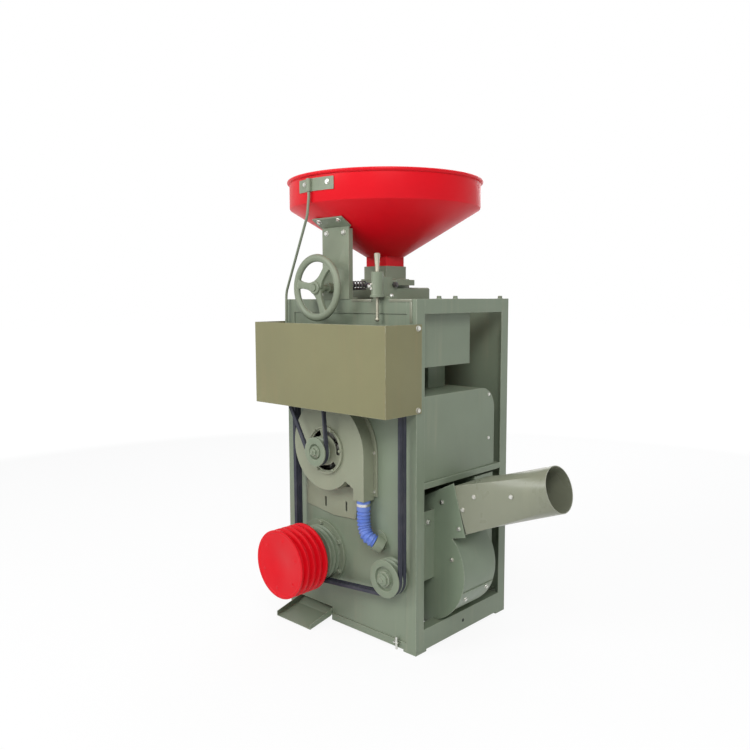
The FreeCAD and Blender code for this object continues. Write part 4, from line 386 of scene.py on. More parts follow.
materials = {
    "frame_paint": finish("frame_paint", paint_tree, {
        "Paint": colour(131, 143, 122), "Mottle": 0.14, "Streaks": 0.34, "Gloss": 0.42, "Specks": 0.45}),
    "guard_paint": finish("guard_paint", paint_tree, {
        "Paint": colour(132, 129, 92), "Dust": colour(148, 132, 98), "Mottle": 0.15, "Streaks": 0.42,
        "Gloss": 0.46, "Specks": 0.5}),
    "fan_paint": finish("fan_paint", paint_tree, {
        "Paint": colour(128, 142, 120), "Mottle": 0.16, "Streaks": 0.25, "Gloss": 0.38}),
    # The duct's lighter, warmer paint and its paler edge are a painted reflection of warm light.
    "pale_reflection_paint": finish("pale_reflection_paint", paint_tree, {
        "Paint": colour(140, 143, 123), "Edge": colour(200, 202, 186), "Mottle": 0.18, "Streaks": 0.20,
        "Gloss": 0.30}),
    "blower_paint": finish("blower_paint", paint_tree, {
        "Paint": colour(148, 153, 130), "Under": colour(98, 100, 86), "Mottle": 0.18, "Streaks": 0.3,
        "Gloss": 0.48, "Cast Grain": 0.55, "Specks": 0.7}, bump_mm=0.35),
    "casting_paint": finish("casting_paint", paint_tree, {
        "Paint": colour(134, 144, 122), "Mottle": 0.18, "Streaks": 0.25, "Gloss": 0.44,
        "Cast Grain": 0.6, "Specks": 0.6}, bump_mm=0.35),
    "pulley_paint": finish("pulley_paint", paint_tree, {
        "Paint": colour(128, 140, 118), "Under": colour(150, 148, 140), "Mottle": 0.16, "Streaks": 0.2,
        "Edge Wear": 0.9, "Gloss": 0.42, "Cast Grain": 0.3}, bump_mm=0.25),
    "red_paint": finish("red_paint", paint_tree, {
        "Paint": colour(232, 8, 28), "Under": colour(128, 14, 18), "Edge": colour(238, 96, 104),
        "Dust": colour(226, 40, 52), "Mottle": 0.12, "Streaks": 0.20, "Edge Wear": 0.40, "Gloss": 0.44,
        "Specks": 0.35}, Coat_Weight=0.08, Coat_Roughness=0.25, Specular_IOR_Level=0.2),
    "bare_steel": finish("bare_steel", metal_tree, {
        "Metal": colour(196, 196, 192), "Gloss": 0.30, "Marks": 0.35}, bump_mm=0.06, Metallic=1.0),
    "iron": finish("iron", metal_tree, {
        "Metal": colour(104, 104, 106), "Stain": colour(96, 72, 54), "Stains": 0.5, "Gloss": 0.52,
        "Marks": 0.1, "Sand": 1.0}, bump_mm=0.25, Metallic=0.85),
    "belt_rubber": finish("belt_rubber", rubber_tree, {
        "Base": colour(44, 47, 60), "Rubbed": colour(98, 98, 100), "Rub": 0.35, "Gloss": 0.62}),
    "roll_rubber": finish("roll_rubber", rubber_tree, {
        "Base": colour(206, 200, 184), "Rubbed": colour(150, 140, 118), "Rub": 0.5, "Gloss": 0.7}),
    "hose_plastic": finish("hose_plastic", rubber_tree, {
        "Base": colour(92, 124, 208), "Rubbed": colour(184, 194, 222), "Rub": 0.35, "Gloss": 0.40,
        "Texture": 0.2}),
    # Black, for the painted shade in slots and holes.
    "painted_shade_black": finish("painted_shade_black", rubber_tree, {
        "Base": colour(20, 22, 20), "Rubbed": colour(40, 42, 38), "Rub": 0.3, "Gloss": 0.8}),
    "zinc": finish("zinc", metal_tree, {
        "Metal": colour(214, 214, 208), "Stain": colour(150, 138, 108), "Stains": 0.4, "Gloss": 0.28,
        "Marks": 0.2}, bump_mm=0.05, Metallic=1.0),
    "pin_steel": finish("pin_steel", metal_tree, {
        "Metal": colour(176, 172, 154), "Stain": colour(120, 110, 88), "Stains": 0.5, "Gloss": 0.46,
        "Marks": 0.3}, bump_mm=0.08, Metallic=0.55),
}

# These pieces were painted over with the machine, whatever they are made of. The fan's duct
# gets a paint lighter and warmer than the frame's, a painted reflection of the warm light its sheet
# catches.
OVERPAINT_AND_REFLECTION = {"handwheel_shaft": "casting_paint", "feed_gate": "casting_paint", "pressure_tie": "iron",
               "release_pin": "pin_steel", "fan_duct": "pale_reflection_paint"}
for name, obj in nodes.items():
    if not obj.material_slots:
        obj.data.materials.append(None)
    for holder in obj.material_slots:
        holder.material = materials[OVERPAINT_AND_REFLECTION.get(name, slot_of[name])]
print("finishes:", len(materials))

# %% [markdown]
# ## Making pieces
# A new piece is drawn as a mesh, smoothed except at its true corners, told which body it moves
# with and which finish it has. Round pieces are turned: a half section is drawn beside the axis
# and spun once round it, as on a lathe. Sharp rings are then bevelled, because a turned or
# pressed edge always catches a line of light.


# %% Helpers for pieces
SMOOTH_BELOW = math.radians(34.0)


def piece(bm, name, body, slot, replaced=(), material=None):
    """Turns a bmesh into an object that rides on a CAD body."""
    data = bpy.data.meshes.new(name)
    bm.to_mesh(data)
    bm.free()
    data.shade_smooth()
    data.set_sharp_from_angle(angle=SMOOTH_BELOW)
    data.materials.append(materials[material or slot])
    obj = bpy.data.objects.new(name, data)
    bpy.context.scene.collection.objects.link(obj)
    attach(obj, body)
    if replaced:
        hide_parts(*replaced)
    print("piece", name, "on", body, "-", len(data.polygons), "faces")
    return obj


def along(axis, radius, height, centre):
    """The point at a radius and a height of a turned section, for an axis X, Y or Z."""
    if axis == "X":
        return Vector((height, centre.y, centre.z + radius))
    if axis == "Y":
        return Vector((centre.x + radius, height, centre.z))
    return Vector((centre.x + radius, centre.y, height))


AXES = {"X": Vector((1, 0, 0)), "Y": Vector((0, 1, 0)), "Z": Vector((0, 0, 1))}


def turned(section, centre, axis, steps=96, into=None):
    """Spins a half section of (radius, height) points once round an axis."""
    bm = into or bmesh.new()
    verts = [bm.verts.new(along(axis, radius, height, centre)) for radius, height in section]
    ends_on_axis = section[0][0] == 0 and section[-1][0] == 0
    pairs = list(zip(verts, verts[1:]))
    if not ends_on_axis:
        pairs.append((verts[-1], verts[0]))
    edges = [bm.edges.new(pair) for pair in pairs]
    bmesh.ops.spin(bm, geom=verts + edges, cent=centre, axis=AXES[axis], angle=math.tau,
                   steps=steps, use_merge=True, use_duplicate=False)
    bmesh.ops.remove_doubles(bm, verts=bm.verts, dist=1e-6)
    bmesh.ops.recalc_face_normals(bm, faces=bm.faces)
    return bm


def soften(bm, width, segments=2, above=math.radians(32)):
    """Bevels every edge that is sharper than an angle."""
    sharp = [e for e in bm.edges if len(e.link_faces) == 2 and e.calc_face_angle() > above]
    bmesh.ops.bevel(bm, geom=sharp, offset=width, offset_type="OFFSET", segments=segments, profile=0.5,
                    affect="EDGES", clamp_overlap=True, material=-1)
    return bm


def refined(node, width, segments=2):
    """A copy of a CAD piece with its corners broken by a small bevel."""
    bm = bmesh.new()
    bm.from_mesh(nodes[node].data)
    bmesh.ops.remove_doubles(bm, verts=bm.verts, dist=4e-6)
    bmesh.ops.dissolve_degenerate(bm, dist=1e-6, edges=bm.edges)
    bmesh.ops.dissolve_limit(bm, angle_limit=math.radians(0.4), verts=bm.verts, edges=bm.edges)
    obj = piece(bm, node + "_finished", body_of[node], slot_of[node], [node], OVERPAINT_AND_REFLECTION.get(node))
    rounding = obj.modifiers.new("broken_corners", "BEVEL")
    rounding.width = width
    rounding.segments = segments
    rounding.limit_method = "ANGLE"
    rounding.angle_limit = math.radians(40)
    rounding.use_clamp_overlap = True
    return obj


def middle(node):
    low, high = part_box(node)
    return (low + high) / 2


print("piece helpers ready")

# %% [markdown]
# ## Hopper
# The hopper is spun from sheet: a wire is rolled into the rim, the band below it is upright, and
# the cone runs down to a square neck that drops into its socket. A lathe gives all of the round
# part from one section, with the sheet's real thickness, and the neck is a square tube.

# %% Hopper
SHEET = 0.002
BEAD_R = 0.0065
BAND_H = 0.1015
CONE_H = 0.181
NECK_HALF = 0.0525
low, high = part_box("hopper")
centre = middle("hopper")
rim_z = high.z - BEAD_R
band_z = rim_z - BAND_H
cone_z = band_z - CONE_H
band_r = (high.x - low.x) / 2 - 2 * BEAD_R + 0.004
cone_r = NECK_HALF * math.sqrt(2)
section = [(band_r, rim_z - BEAD_R)]
for step in range(10):
    angle = math.radians(-60 + step * 34)
    section.append((band_r + 0.0025 + BEAD_R * math.cos(angle), rim_z + BEAD_R * math.sin(angle)))
section += [(band_r - SHEET, rim_z - 0.002), (band_r - SHEET, band_z + 0.006),
            (band_r - SHEET - 0.004, band_z), (cone_r - SHEET, cone_z + 0.001),
            (NECK_HALF - SHEET, cone_z + 0.001), (NECK_HALF - SHEET, cone_z - 0.001)]
section += [(cone_r, cone_z - 0.001), (cone_r + 0.002, cone_z), (band_r - 0.003, band_z - 0.0015),
            (band_r, band_z + 0.004)]
bowl = turned(section, centre, "Z", steps=160)
neck_middle = Matrix.Translation((centre.x, centre.y, (low.z + cone_z) / 2))
neck_size = Matrix.Diagonal((2 * NECK_HALF, 2 * NECK_HALF, cone_z - low.z, 1.0))
neck = bmesh.ops.create_cube(bowl, size=1.0, matrix=neck_middle @ neck_size)
corners = {v for v in neck["verts"]}
caps = [f for f in bowl.faces if set(f.verts) <= corners and abs(f.normal.z) > 0.9]
bmesh.ops.delete(bowl, geom=caps, context="FACES_ONLY")
walls = [f for f in bowl.faces if set(f.verts) <= corners]
bmesh.ops.solidify(bowl, geom=walls, thickness=SHEET)
piece(bowl, "hopper_spun", "cabinet", "red_paint", ["hopper"])

# %% [markdown]
# ## Pulleys
# Every V-belt pulley is a casting turned on its rim: trapezoid grooves, a cheek each side, a dish
# in front and a hub round the shaft. The groove is the same on all but the big driving wheel, so
# one function draws the section for any radius and any number of grooves.

# %% Pulleys
GROOVE_TOP = 0.017
GROOVE_DEEP = 0.014
GROOVE_SLOPE = math.tan(math.radians(18))
BELT_PITCH = 0.021


def grooves(rim_r, places, top, deep):
    """Section points of the grooves, cut into the rim at the given places."""
    points = []
    for y in places:
        floor_half = top / 2 - deep * GROOVE_SLOPE
        points += [(rim_r, y - top / 2), (rim_r - deep, y - floor_half)]
        points += [(rim_r - deep, y + floor_half), (rim_r, y + top / 2)]
    return points


def dished_pulley(node, bore_r, count, rim_t=0.024, dish=0.011, hub_r=0.012):
    """Pulley with a dish in front, its outside from the CAD node's box."""
    low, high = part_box(node)
    rim_r = (high.x - low.x) / 2
    y0, y1 = low.y, high.y
    mid = (y0 + y1) / 2
    places = [mid + (i - (count - 1) / 2) * BELT_PITCH for i in range(count)]
    hub = bore_r + hub_r
    section = [(bore_r, y0 + 0.001), (hub, y0 + 0.001), (hub + 0.002, y0 + dish),
               (rim_r - rim_t - 0.004, y0 + dish), (rim_r - rim_t, y0)]
    section += [(rim_r, y0)] + grooves(rim_r, places, GROOVE_TOP, GROOVE_DEEP) + [(rim_r, y1), (bore_r, y1)]
    bm = turned(section, middle(node), "Y", steps=96)
    soften(bm, 0.0009, segments=2)
    return piece(bm, node + "_turned", body_of[node], "pulley_paint", [node])


for node, bore, count in (("main_pulley", 0.02505, 2), ("fan_pulley", 0.01505, 2),
                          ("roll_pulley", 0.01755, 2), ("idler_pulley", 0.01205, 2),
                          ("blower_pulley", 0.01005, 1), ("blower_drive_pulley", 0.01755, 1)):
    dished_pulley(node, bore, count)

# %% [markdown]
# The driving wheel is the red one in front. It has four wide grooves, and its face is closed by a
# plate with a shallow turned step, held by small countersunk screws.

# %% Driving wheel
DRIVE_PITCH = 0.0305
DRIVE_TOP = 0.022
DRIVE_DEEP = 0.019
SHAFT_R = 0.02505
BOSS_IN = 0.0034       # how far each face lies behind the rim's front
PLATE_IN = 0.0025
PLATE_BACK = 0.0137
WEB_IN = 0.018
low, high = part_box("drive_pulley")
centre = middle("drive_pulley")
rim_r = (high.x - low.x) / 2
y0, y1 = low.y, high.y
first = y0 + (y1 - y0 - 3 * DRIVE_PITCH) / 2
section = [(0, y0 + BOSS_IN), (0.046, y0 + BOSS_IN), (0.048, y0 + PLATE_IN),
           (rim_r - 0.0125, y0 + PLATE_IN), (rim_r - 0.0105, y0), (rim_r, y0)]
section += grooves(rim_r, [first + i * DRIVE_PITCH for i in range(4)], DRIVE_TOP, DRIVE_DEEP)
section += [(rim_r, y1), (rim_r - 0.03, y1), (rim_r - 0.032, y0 + WEB_IN),
            (SHAFT_R + 0.022, y0 + WEB_IN), (SHAFT_R + 0.021, y1), (SHAFT_R, y1),
            (SHAFT_R, y0 + PLATE_BACK), (0, y0 + PLATE_BACK)]
wheel = turned(section, centre, "Y", steps=160)
soften(wheel, 0.0012, segments=3)
piece(wheel, "drive_pulley_turned", "main_rotor", "red_paint", ["drive_pulley"])

# %% [markdown]
# ## Screws and bolts
# A bolt is three turned layers on one axis: a washer, a six-sided head and the head's chamfered
# top. All the bolts of one joint are one object, because they are fitted together.


# %% Screws and bolts
WASHER_T = 0.0018


def facing(place, direction):
    """A matrix whose Z points along a direction, at a place."""
    return Matrix.Translation(place) @ Vector(direction).to_track_quat("Z", "Y").to_matrix().to_4x4()


def add_bolt(bm, place, direction, head=0.0085, height=0.0062, washer=0.0105):
    """Washer and six-sided head, seated on a face and pointing out of it."""
    base = facing(Vector(place), direction)
    for sides, bottom, top, thick, at in (
            (20, washer, washer * 0.94, WASHER_T, WASHER_T / 2),
            (6, head, head, height * 0.8, WASHER_T + height * 0.4),
            (6, head, head * 0.84, height * 0.2, WASHER_T + height * 0.9)):
        bmesh.ops.create_cone(bm, cap_ends=True, segments=sides, radius1=bottom, radius2=top,
                              depth=thick, matrix=base @ Matrix.Translation((0, 0, at)))


def bolt_set(name, body, places, direction, slot="bare_steel", material="zinc", **sizes):
    """One object with all the bolts of a joint."""
    bm = bmesh.new()
    for place in places:
        add_bolt(bm, place, direction, **sizes)
    bmesh.ops.remove_doubles(bm, verts=bm.verts, dist=1e-7)
    return piece(bm, name, body, slot, material=material)


def ring_of(centre, radius, count, y, start=0.0):
    """Places on a bolt circle round the Y axis."""
    angles = [math.radians(start) + math.tau * k / count for k in range(count)]
    return [Vector((centre.x + radius * math.cos(angle), y, centre.z + radius * math.sin(angle)))
            for angle in angles]


screws = bmesh.new()
for place in ring_of(centre, 0.094, 6, y0 + 0.0019, start=20):
    bmesh.ops.create_cone(screws, cap_ends=True, segments=16, radius1=0.0062, radius2=0.0048, depth=0.0026,
                          matrix=facing(place, (0, -1, 0)))
soften(screws, 0.0004)
piece(screws, "drive_pulley_screws", "main_rotor", "red_paint")

# %% [markdown]
# ## Handwheel
# The handwheel sets the gap of the rubber rolls. Its rim is a ring of round section, so it is a
# small circle spun round the axis. Each of its three spokes is a flat bar that swells where it
# meets the rim and the hub.

# %% Handwheel
RIM_WIDE, RIM_DEEP = 0.0145, 0.011
low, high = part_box("handwheel")
centre = middle("handwheel")
ring_r = (high.x - low.x) / 2 - RIM_WIDE
wheel_y = high.y - 0.022
around = [math.tau * k / 16 for k in range(16)]
section = [(ring_r + RIM_WIDE * math.cos(angle), wheel_y + RIM_DEEP * math.sin(angle))
           for angle in around]
wheel = turned(section, centre, "Y", steps=120)
HUB_BORE, HUB_FACE, HUB_R = 0.01205, 0.021, 0.024
hub = [(HUB_BORE, wheel_y - 0.016), (HUB_FACE, wheel_y - 0.016), (HUB_R, wheel_y - 0.013),
       (HUB_R, wheel_y + 0.019), (HUB_FACE, wheel_y + 0.022), (HUB_BORE, wheel_y + 0.022)]
turned(hub, centre, "Y", steps=48, into=wheel)
SPOKE_IN, SPOKE_OUT = 0.016, 0.104
SWELLS_FROM, SWELLS_TO = 0.070, 0.052   # towards the rim, and towards the hub
spoke = bmesh.new()
bmesh.ops.create_cube(spoke, size=1.0, matrix=Matrix.Translation(((SPOKE_IN + SPOKE_OUT) / 2, 0, 0))
                      @ Matrix.Diagonal((SPOKE_OUT - SPOKE_IN, 0.014, 0.025, 1.0)))
lengthwise = [e for e in spoke.edges if e.calc_length() > 0.05]
bmesh.ops.subdivide_edges(spoke, edges=lengthwise, cuts=8, use_grid_fill=True)
for v in spoke.verts:
    near_rim = max(0.0, (v.co.x - SWELLS_FROM) / (SPOKE_OUT - SWELLS_FROM))
    near_hub = max(0.0, (SWELLS_TO - v.co.x) / (SWELLS_TO - SPOKE_IN))
    v.co.z += math.copysign(0.008 * near_rim ** 2 + 0.010 * near_hub ** 2, v.co.z)
spoke_mesh = bpy.data.meshes.new("spoke")
spoke.to_mesh(spoke_mesh)
spoke.free()
for angle in (52, 172, 292):
    turn = Matrix.Translation((centre.x, wheel_y, centre.z)) @ Matrix.Rotation(math.radians(-angle), 4, "Y")
    count = len(wheel.verts)
    wheel.from_mesh(spoke_mesh)
    wheel.verts.ensure_lookup_table()
    bmesh.ops.transform(wheel, matrix=turn, verts=wheel.verts[count:])
bpy.data.meshes.remove(spoke_mesh)
bmesh.ops.recalc_face_normals(wheel, faces=wheel.faces)
soften(wheel, 0.0022, segments=3, above=math.radians(60))
piece(wheel, "handwheel_cast", "adjusting_wheel", "casting_paint", ["handwheel"])

# %% [markdown]
# ## Release pin
# The pin locks the movable roll. It is turned from one bar: a ball that can't slip out below, the
# plain rod, and a tapered grip above the post.

# %% Release pin
BALL_R = 0.0075
ROD_R = 0.005
low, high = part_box("release_pin")
grip_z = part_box("cast_post")[1].z + 0.0003
section = [(0.0, low.z)]
for step in range(1, 8):
    angle = math.radians(-90 + step * 19)
    section.append((BALL_R * math.cos(angle), low.z + BALL_R * (1 + math.sin(angle))))
section += [(ROD_R, low.z + 0.0150), (ROD_R, grip_z), (0.0068, grip_z), (0.0072, grip_z + 0.004),
            (0.0062, grip_z + 0.006), (0.0108, high.z - 0.008), (0.0104, high.z - 0.003),
            (0.0080, high.z - 0.0005), (0.0, high.z)]
piece(turned(section, middle("release_pin"), "Z", steps=48), "release_pin_turned", "pin", "bare_steel",
      ["release_pin"], "pin_steel")

# %% [markdown]
# ## Sheet and cast pieces
# Folded sheet has a small radius at each bend and cut edges are filed, so a perfectly sharp CAD
# corner looks like a toy. Each visible sheet or casting is copied, its triangles are merged into
# whole faces, and a Bevel modifier breaks its corners: wide for castings, narrow for thin sheet.

# %% Broken corners
for node, width in (("belt_guard", 0.0008), ("corner_posts", 0.0008), ("frame_rails", 0.0008),
                    ("front_panel", 0.0005), ("closing_panels", 0.0005), ("separator_housing", 0.0011),
                    ("aspiration_box", 0.0008), ("fan_front_plate", 0.0008), ("fan_scroll", 0.0008),
                    ("fan_duct", 0.0008), ("suction_duct", 0.0006), ("fan_bracket", 0.0008),
                    ("blower_casing", 0.0014), ("blower_cover", 0.0012), ("hopper_bracket", 0.0010),
                    ("hopper_collar", 0.0010), ("cast_post", 0.0014), ("bearing_housing", 0.0012),
                    ("rice_chute", 0.0005), ("husker_casing", 0.0012), ("feed_gate", 0.0006)):
    refined(node, width)

# %% [markdown]
# ## Air hose
# A ribbed plastic hose leads air from the blower to the mill. A tube could be swept along a curve,
# but it would be smooth. Instead the curve is sampled, a ring of points is set square to it at
# each sample, wide on the ribs and narrow between them, and neighbouring rings are bridged.

# %% Air hose
HOSE_R = 0.0255
RIB_DEEP = 0.0042
RIB_PITCH = 0.0135
CUFF_LENGTH = 0.040
low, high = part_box("air_hose")
top_x = low.x + 0.026
top_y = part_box("blower_casing")[0].y + 0.02775
end = Vector((0.162, -0.306, 0.392))
route = [Vector((top_x, top_y, high.z)), Vector((top_x, top_y, high.z - 0.046)),
         Vector((top_x, top_y, 0.462)), Vector((top_x + 0.004, top_y, 0.436)),
         Vector((0.134, -0.3185, 0.412)), Vector((0.150, -0.3165, 0.4015)), end]
line = bpy.data.curves.new("hose_line", "CURVE")
line.dimensions = "3D"
line.resolution_u = 24
spline = line.splines.new("NURBS")
spline.points.add(len(route) - 1)
for point, place in zip(spline.points, route):
    point.co = (*place, 1.0)
spline.order_u = 3
spline.use_endpoint_u = True
guide = bpy.data.objects.new("hose_line", line)
bpy.context.scene.collection.objects.link(guide)
bpy.context.view_layer.update()
sampled = bpy.data.meshes.new_from_object(guide.evaluated_get(bpy.context.evaluated_depsgraph_get()))
samples = [v.co.copy() for v in sampled.vertices]
bpy.data.objects.remove(guide)
bpy.data.meshes.remove(sampled)

lengths = [0.0]
for a, b in zip(samples, samples[1:]):
    lengths.append(lengths[-1] + (b - a).length)


def on_line(distance):
    """The place and the direction at a distance along the sampled line."""
    index = max(i for i, length in enumerate(lengths[:-1]) if length <= distance)
    a, b = samples[index], samples[index + 1]
    share = min(1.0, (distance - lengths[index]) / (b - a).length)
    return a.lerp(b, share), (b - a).normalized()


hose = bmesh.new()
RIB_SHAPE = ((0.0, -RIB_DEEP), (0.22, -RIB_DEEP * 0.9), (0.36, -0.0006), (0.5, 0.0),
             (0.72, -0.0004), (0.86, -RIB_DEEP * 0.9))
stations = [(0.0, HOSE_R - 0.001), (0.003, HOSE_R), (CUFF_LENGTH - 0.002, HOSE_R),
            (CUFF_LENGTH, HOSE_R - 0.003)]
distance = CUFF_LENGTH + 0.003
while distance < lengths[-1] - 0.004:
    for share, rise in RIB_SHAPE:
        stations.append((distance + share * RIB_PITCH, HOSE_R + rise))
    distance += RIB_PITCH
stations = [s for s in stations if s[0] < lengths[-1]] + [(lengths[-1], HOSE_R - RIB_DEEP)]
rings = []
for distance, radius in stations:
    place, heading = on_line(distance)
    made = bmesh.ops.create_circle(hose, cap_ends=False, segments=48, radius=radius,
                                   matrix=facing(place, heading))
    ring = list({e for v in made["verts"] for e in v.link_edges})
    if rings:
        bmesh.ops.bridge_loops(hose, edges=rings[-1] + ring)
    rings.append(ring)
for ring in (rings[0], rings[-1]):
    bmesh.ops.contextual_create(hose, geom=ring)
bmesh.ops.recalc_face_normals(hose, faces=hose.faces)
piece(hose, "air_hose_ribbed", "cabinet", "hose_plastic", ["air_hose"])

# %% [markdown]
# ## Bolts
# Bolts show how the machine comes apart, so each one sits where it holds something: the guard to
# the cabinet's sides, the bracket to the top rail, the blower's back plate to the panel,
# the fan's side plate and duct to their neighbours. They are bright zinc against the paint.

# %% Bolts of the guard and the top
GUARD_BOLT_IN = 0.014
GUARD_BOLT_BACK = 0.022
BRACKET_BOLT_IN = 0.034
BRACKET_BOLT_UP = 0.246
RAIL_BOLT_IN = 0.022
RAIL_BOLTS_Y = (-0.132, -0.036, 0.255)
CLAMP_SCREWS_DOWN = (0.044, 0.060)
guard_low, guard_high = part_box("belt_guard")
side_y = guard_high.y - GUARD_BOLT_BACK
for side, x in (("right", guard_high.x), ("left", guard_low.x)):
    outward = (1, 0, 0) if side == "right" else (-1, 0, 0)
    bolt_set("guard_bolts_" + side, "cabinet",
             [Vector((x, side_y, z)) for z in (guard_high.z - GUARD_BOLT_IN,
                                               guard_low.z + GUARD_BOLT_IN)], outward)
bracket_low, bracket_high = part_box("hopper_bracket")
rail_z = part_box("corner_posts")[1].z
panel_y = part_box("frame_rails")[0].y
bracket_x = (bracket_low.x + BRACKET_BOLT_IN, bracket_high.x - BRACKET_BOLT_IN)
bolt_set("bracket_bolts", "cabinet",
         [Vector((x, panel_y - 0.0035, rail_z + BRACKET_BOLT_UP)) for x in bracket_x], (0, -1, 0))
bolt_set("bracket_foot_bolts", "cabinet",
         [Vector((x, panel_y + 0.028, rail_z + 0.006)) for x in bracket_x], (0, 0, 1), height=0.006)
rail_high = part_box("frame_rails")[1]
bolt_set("rail_bolts", "cabinet",
         [Vector((rail_high.x - RAIL_BOLT_IN, y, rail_z)) for y in RAIL_BOLTS_Y], (0, 0, 1),
         height=0.009, slot="frame_paint", material="frame_paint")
post_low, post_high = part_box("cast_post")
bolt_set("post_foot_bolts", "cabinet",
         [Vector((x, panel_y + 0.024, rail_z + 0.010)) for x in (post_low.x + 0.010, post_high.x - 0.010)],
         (0, 0, 1), head=0.007, washer=0.0085)
post = middle("cast_post")
clamp_nut = Vector((post_low.x + 0.0185, post_low.y + 0.026, post_high.z - 0.050))
bolt_set("post_clamp_nut", "cabinet", [clamp_nut], (-1, 0, 0), head=0.0088, height=0.020,
         washer=0.0112)
bolt_set("post_clamp_screws", "cabinet",
         [Vector((post.x - 0.008, post_low.y + 0.0056, post_high.z - down))
          for down in CLAMP_SCREWS_DOWN], (0, -1, 0), head=0.0042, height=0.004, washer=0.0050)

# %% [markdown]
# The lip of the bracket is bolted to the cone and the strap of the stay rod to the hopper's band.

# %% Bolts of the hopper
CONE_SLOPE = math.atan2(CONE_H, band_r - cone_r)
LIP_T = 0.005
LIP_BOLT_BACK = 0.011
LIP_BOLT_OUT = 0.006
under = Vector((0, -math.sin(CONE_SLOPE), -math.cos(CONE_SLOPE)))
lip_y = bracket_low.y + LIP_BOLT_BACK
lip_z = bracket_high.z - LIP_T / math.cos(CONE_SLOPE) - LIP_BOLT_BACK * math.tan(CONE_SLOPE)
lip_places = (bracket_x[0] - LIP_BOLT_OUT, bracket_x[1] + LIP_BOLT_OUT)
bolt_set("lip_bolts", "cabinet", [Vector((x, lip_y, lip_z)) for x in lip_places], under,
         head=0.0078, height=0.006)
clip_low, clip_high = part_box("stay_clip")
hopper_middle = middle("hopper")
strap_r = band_r + 0.0033
for number, share in enumerate((0.22, 0.86)):
    x = clip_low.x + (clip_high.x - clip_low.x) * share
    across = x - hopper_middle.x
    out = Vector((across, -math.sqrt(strap_r ** 2 - across ** 2), 0)).normalized()
    place = hopper_middle + out * strap_r
    place.z = (clip_low.z + clip_high.z) / 2 + 0.004
    bolt_set("clip_bolt_%d" % number, "cabinet", [place], out, head=0.0075, height=0.005, washer=0.0095)

# %% [markdown]
# A folded edge runs along the top of the front panel and down beside the right post, and it
# catches a line of light. It is a strip of sheet, so it is a thin bar with broken corners, left out
# where the cast post stands, and its pale paint is a painted highlight of that line of light.

# %% Folded edge with a painted highlight, and stud
STRIP_T = 0.0025
STRIP_H = 0.009


def strip(name, low, high):
    """A thin bar between two corners."""
    bm = bmesh.new()
    bmesh.ops.create_cube(bm, size=1.0, matrix=Matrix.Translation((low + high) / 2)
                          @ Matrix.Diagonal((*(high - low), 1.0)))
    soften(bm, 0.0007)
    # The strip's pale paint is a painted highlight of the light its edge catches.
    return piece(bm, name, "cabinet", "frame_paint", material="pale_reflection_paint")


front_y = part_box("corner_posts")[0].y
edge_x = guard_high.x - 0.0215
strip_z = rail_z - 0.001
strip("top_edge_highlight_left", Vector((bracket_high.x + 0.004, front_y - STRIP_T, strip_z - STRIP_H)),
      Vector((post_low.x - 0.002, front_y, strip_z)))
strip("top_edge_highlight_right", Vector((post_high.x + 0.002, front_y - STRIP_T, strip_z - STRIP_H)),
      Vector((edge_x, front_y, strip_z)))
strip("side_edge_highlight", Vector((edge_x - 0.011, front_y - STRIP_T, guard_high.z + 0.004)),
      Vector((edge_x, front_y, strip_z - STRIP_H)))

STUD_X, STUD_R = 0.2565, 0.0045
stud = bmesh.new()
stud_y = front_y - 0.0075
bmesh.ops.create_cone(stud, cap_ends=True, segments=20, radius1=STUD_R, radius2=STUD_R, depth=0.046,
                      matrix=Matrix.Translation((STUD_X, stud_y, 0.027)))
bmesh.ops.create_cone(stud, cap_ends=True, segments=6, radius1=0.0075, radius2=0.0075, depth=0.007,
                      matrix=Matrix.Translation((STUD_X, stud_y, 0.0355)))
bmesh.ops.create_cube(stud, size=1.0, matrix=Matrix.Translation((STUD_X, stud_y, 0.030))
                      @ Matrix.Diagonal((0.024, 0.015, 0.004, 1.0)))
soften(stud, 0.0006)
piece(stud, "rail_stud", "cabinet", "bare_steel", material="zinc")

# %% [markdown]
# The bolts of the shaft housing and of the blower's cover were painted over with their castings.
# The blower's back plate has two bright ones at its right edge.

# %% Bolts of the shaft housing and the blower
housing = middle("bearing_housing")
flange_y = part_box("bearing_housing")[0].y
bolt_set("housing_bolts", "cabinet", ring_of(housing, 0.117, 6, flange_y + 0.0015, start=30), (0, -1, 0),
         slot="casting_paint", material="casting_paint", head=0.0095, height=0.008, washer=0.0098)
cover = middle("blower_cover")
cover_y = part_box("blower_cover")[0].y + 0.010
bolt_set("cover_bolts", "cabinet", ring_of(cover, 0.0855, 6, cover_y, start=5), (0, -1, 0),
         slot="blower_paint", material="blower_paint", head=0.0058, height=0.005, washer=0.0062)
casing_low, casing_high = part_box("blower_casing")
plate_y = casing_high.y - 0.006
lip_x = casing_high.x - 0.0135
bolt_set("blower_plate_bolts", "cabinet",
         [Vector((lip_x, plate_y, cover.z + dz)) for dz in (0.006, -0.139)], (0, -1, 0),
         head=0.0062, height=0.005, washer=0.0074)

# %% [markdown]
# The blower's foot has two upright slots, so that the blower can be moved to tighten its belt.
# Inside the slots the panel lies in shade, and that shade is painted: a thin black patch on the
# panel's face in each slot. A hole in the side of the base rail gets the same painted shade.


# %% Painted shade in the slots and the base rail's hole
def painted_shade_patch(bm, place, direction, half_wide, half_high, depth=0.0004):
    """A thin dark patch with round ends on a face, painted shade where a slot or a hole is."""
    base = facing(place, direction)
    made = bmesh.ops.create_circle(bm, cap_ends=True, segments=24, radius=half_wide,
                                   matrix=base @ Matrix.Rotation(math.radians(7.5), 4, "Z"))
    for v in made["verts"]:
        v.co.z += math.copysign(half_high - half_wide, v.co.z - place.z)
    face = made["verts"][0].link_faces[0]
    grown = bmesh.ops.extrude_face_region(bm, geom=[face])
    lifted = [v for v in grown["geom"] if isinstance(v, bmesh.types.BMVert)]
    bmesh.ops.translate(bm, verts=lifted, vec=Vector(direction) * depth)
    bmesh.ops.recalc_face_normals(bm, faces=bm.faces)


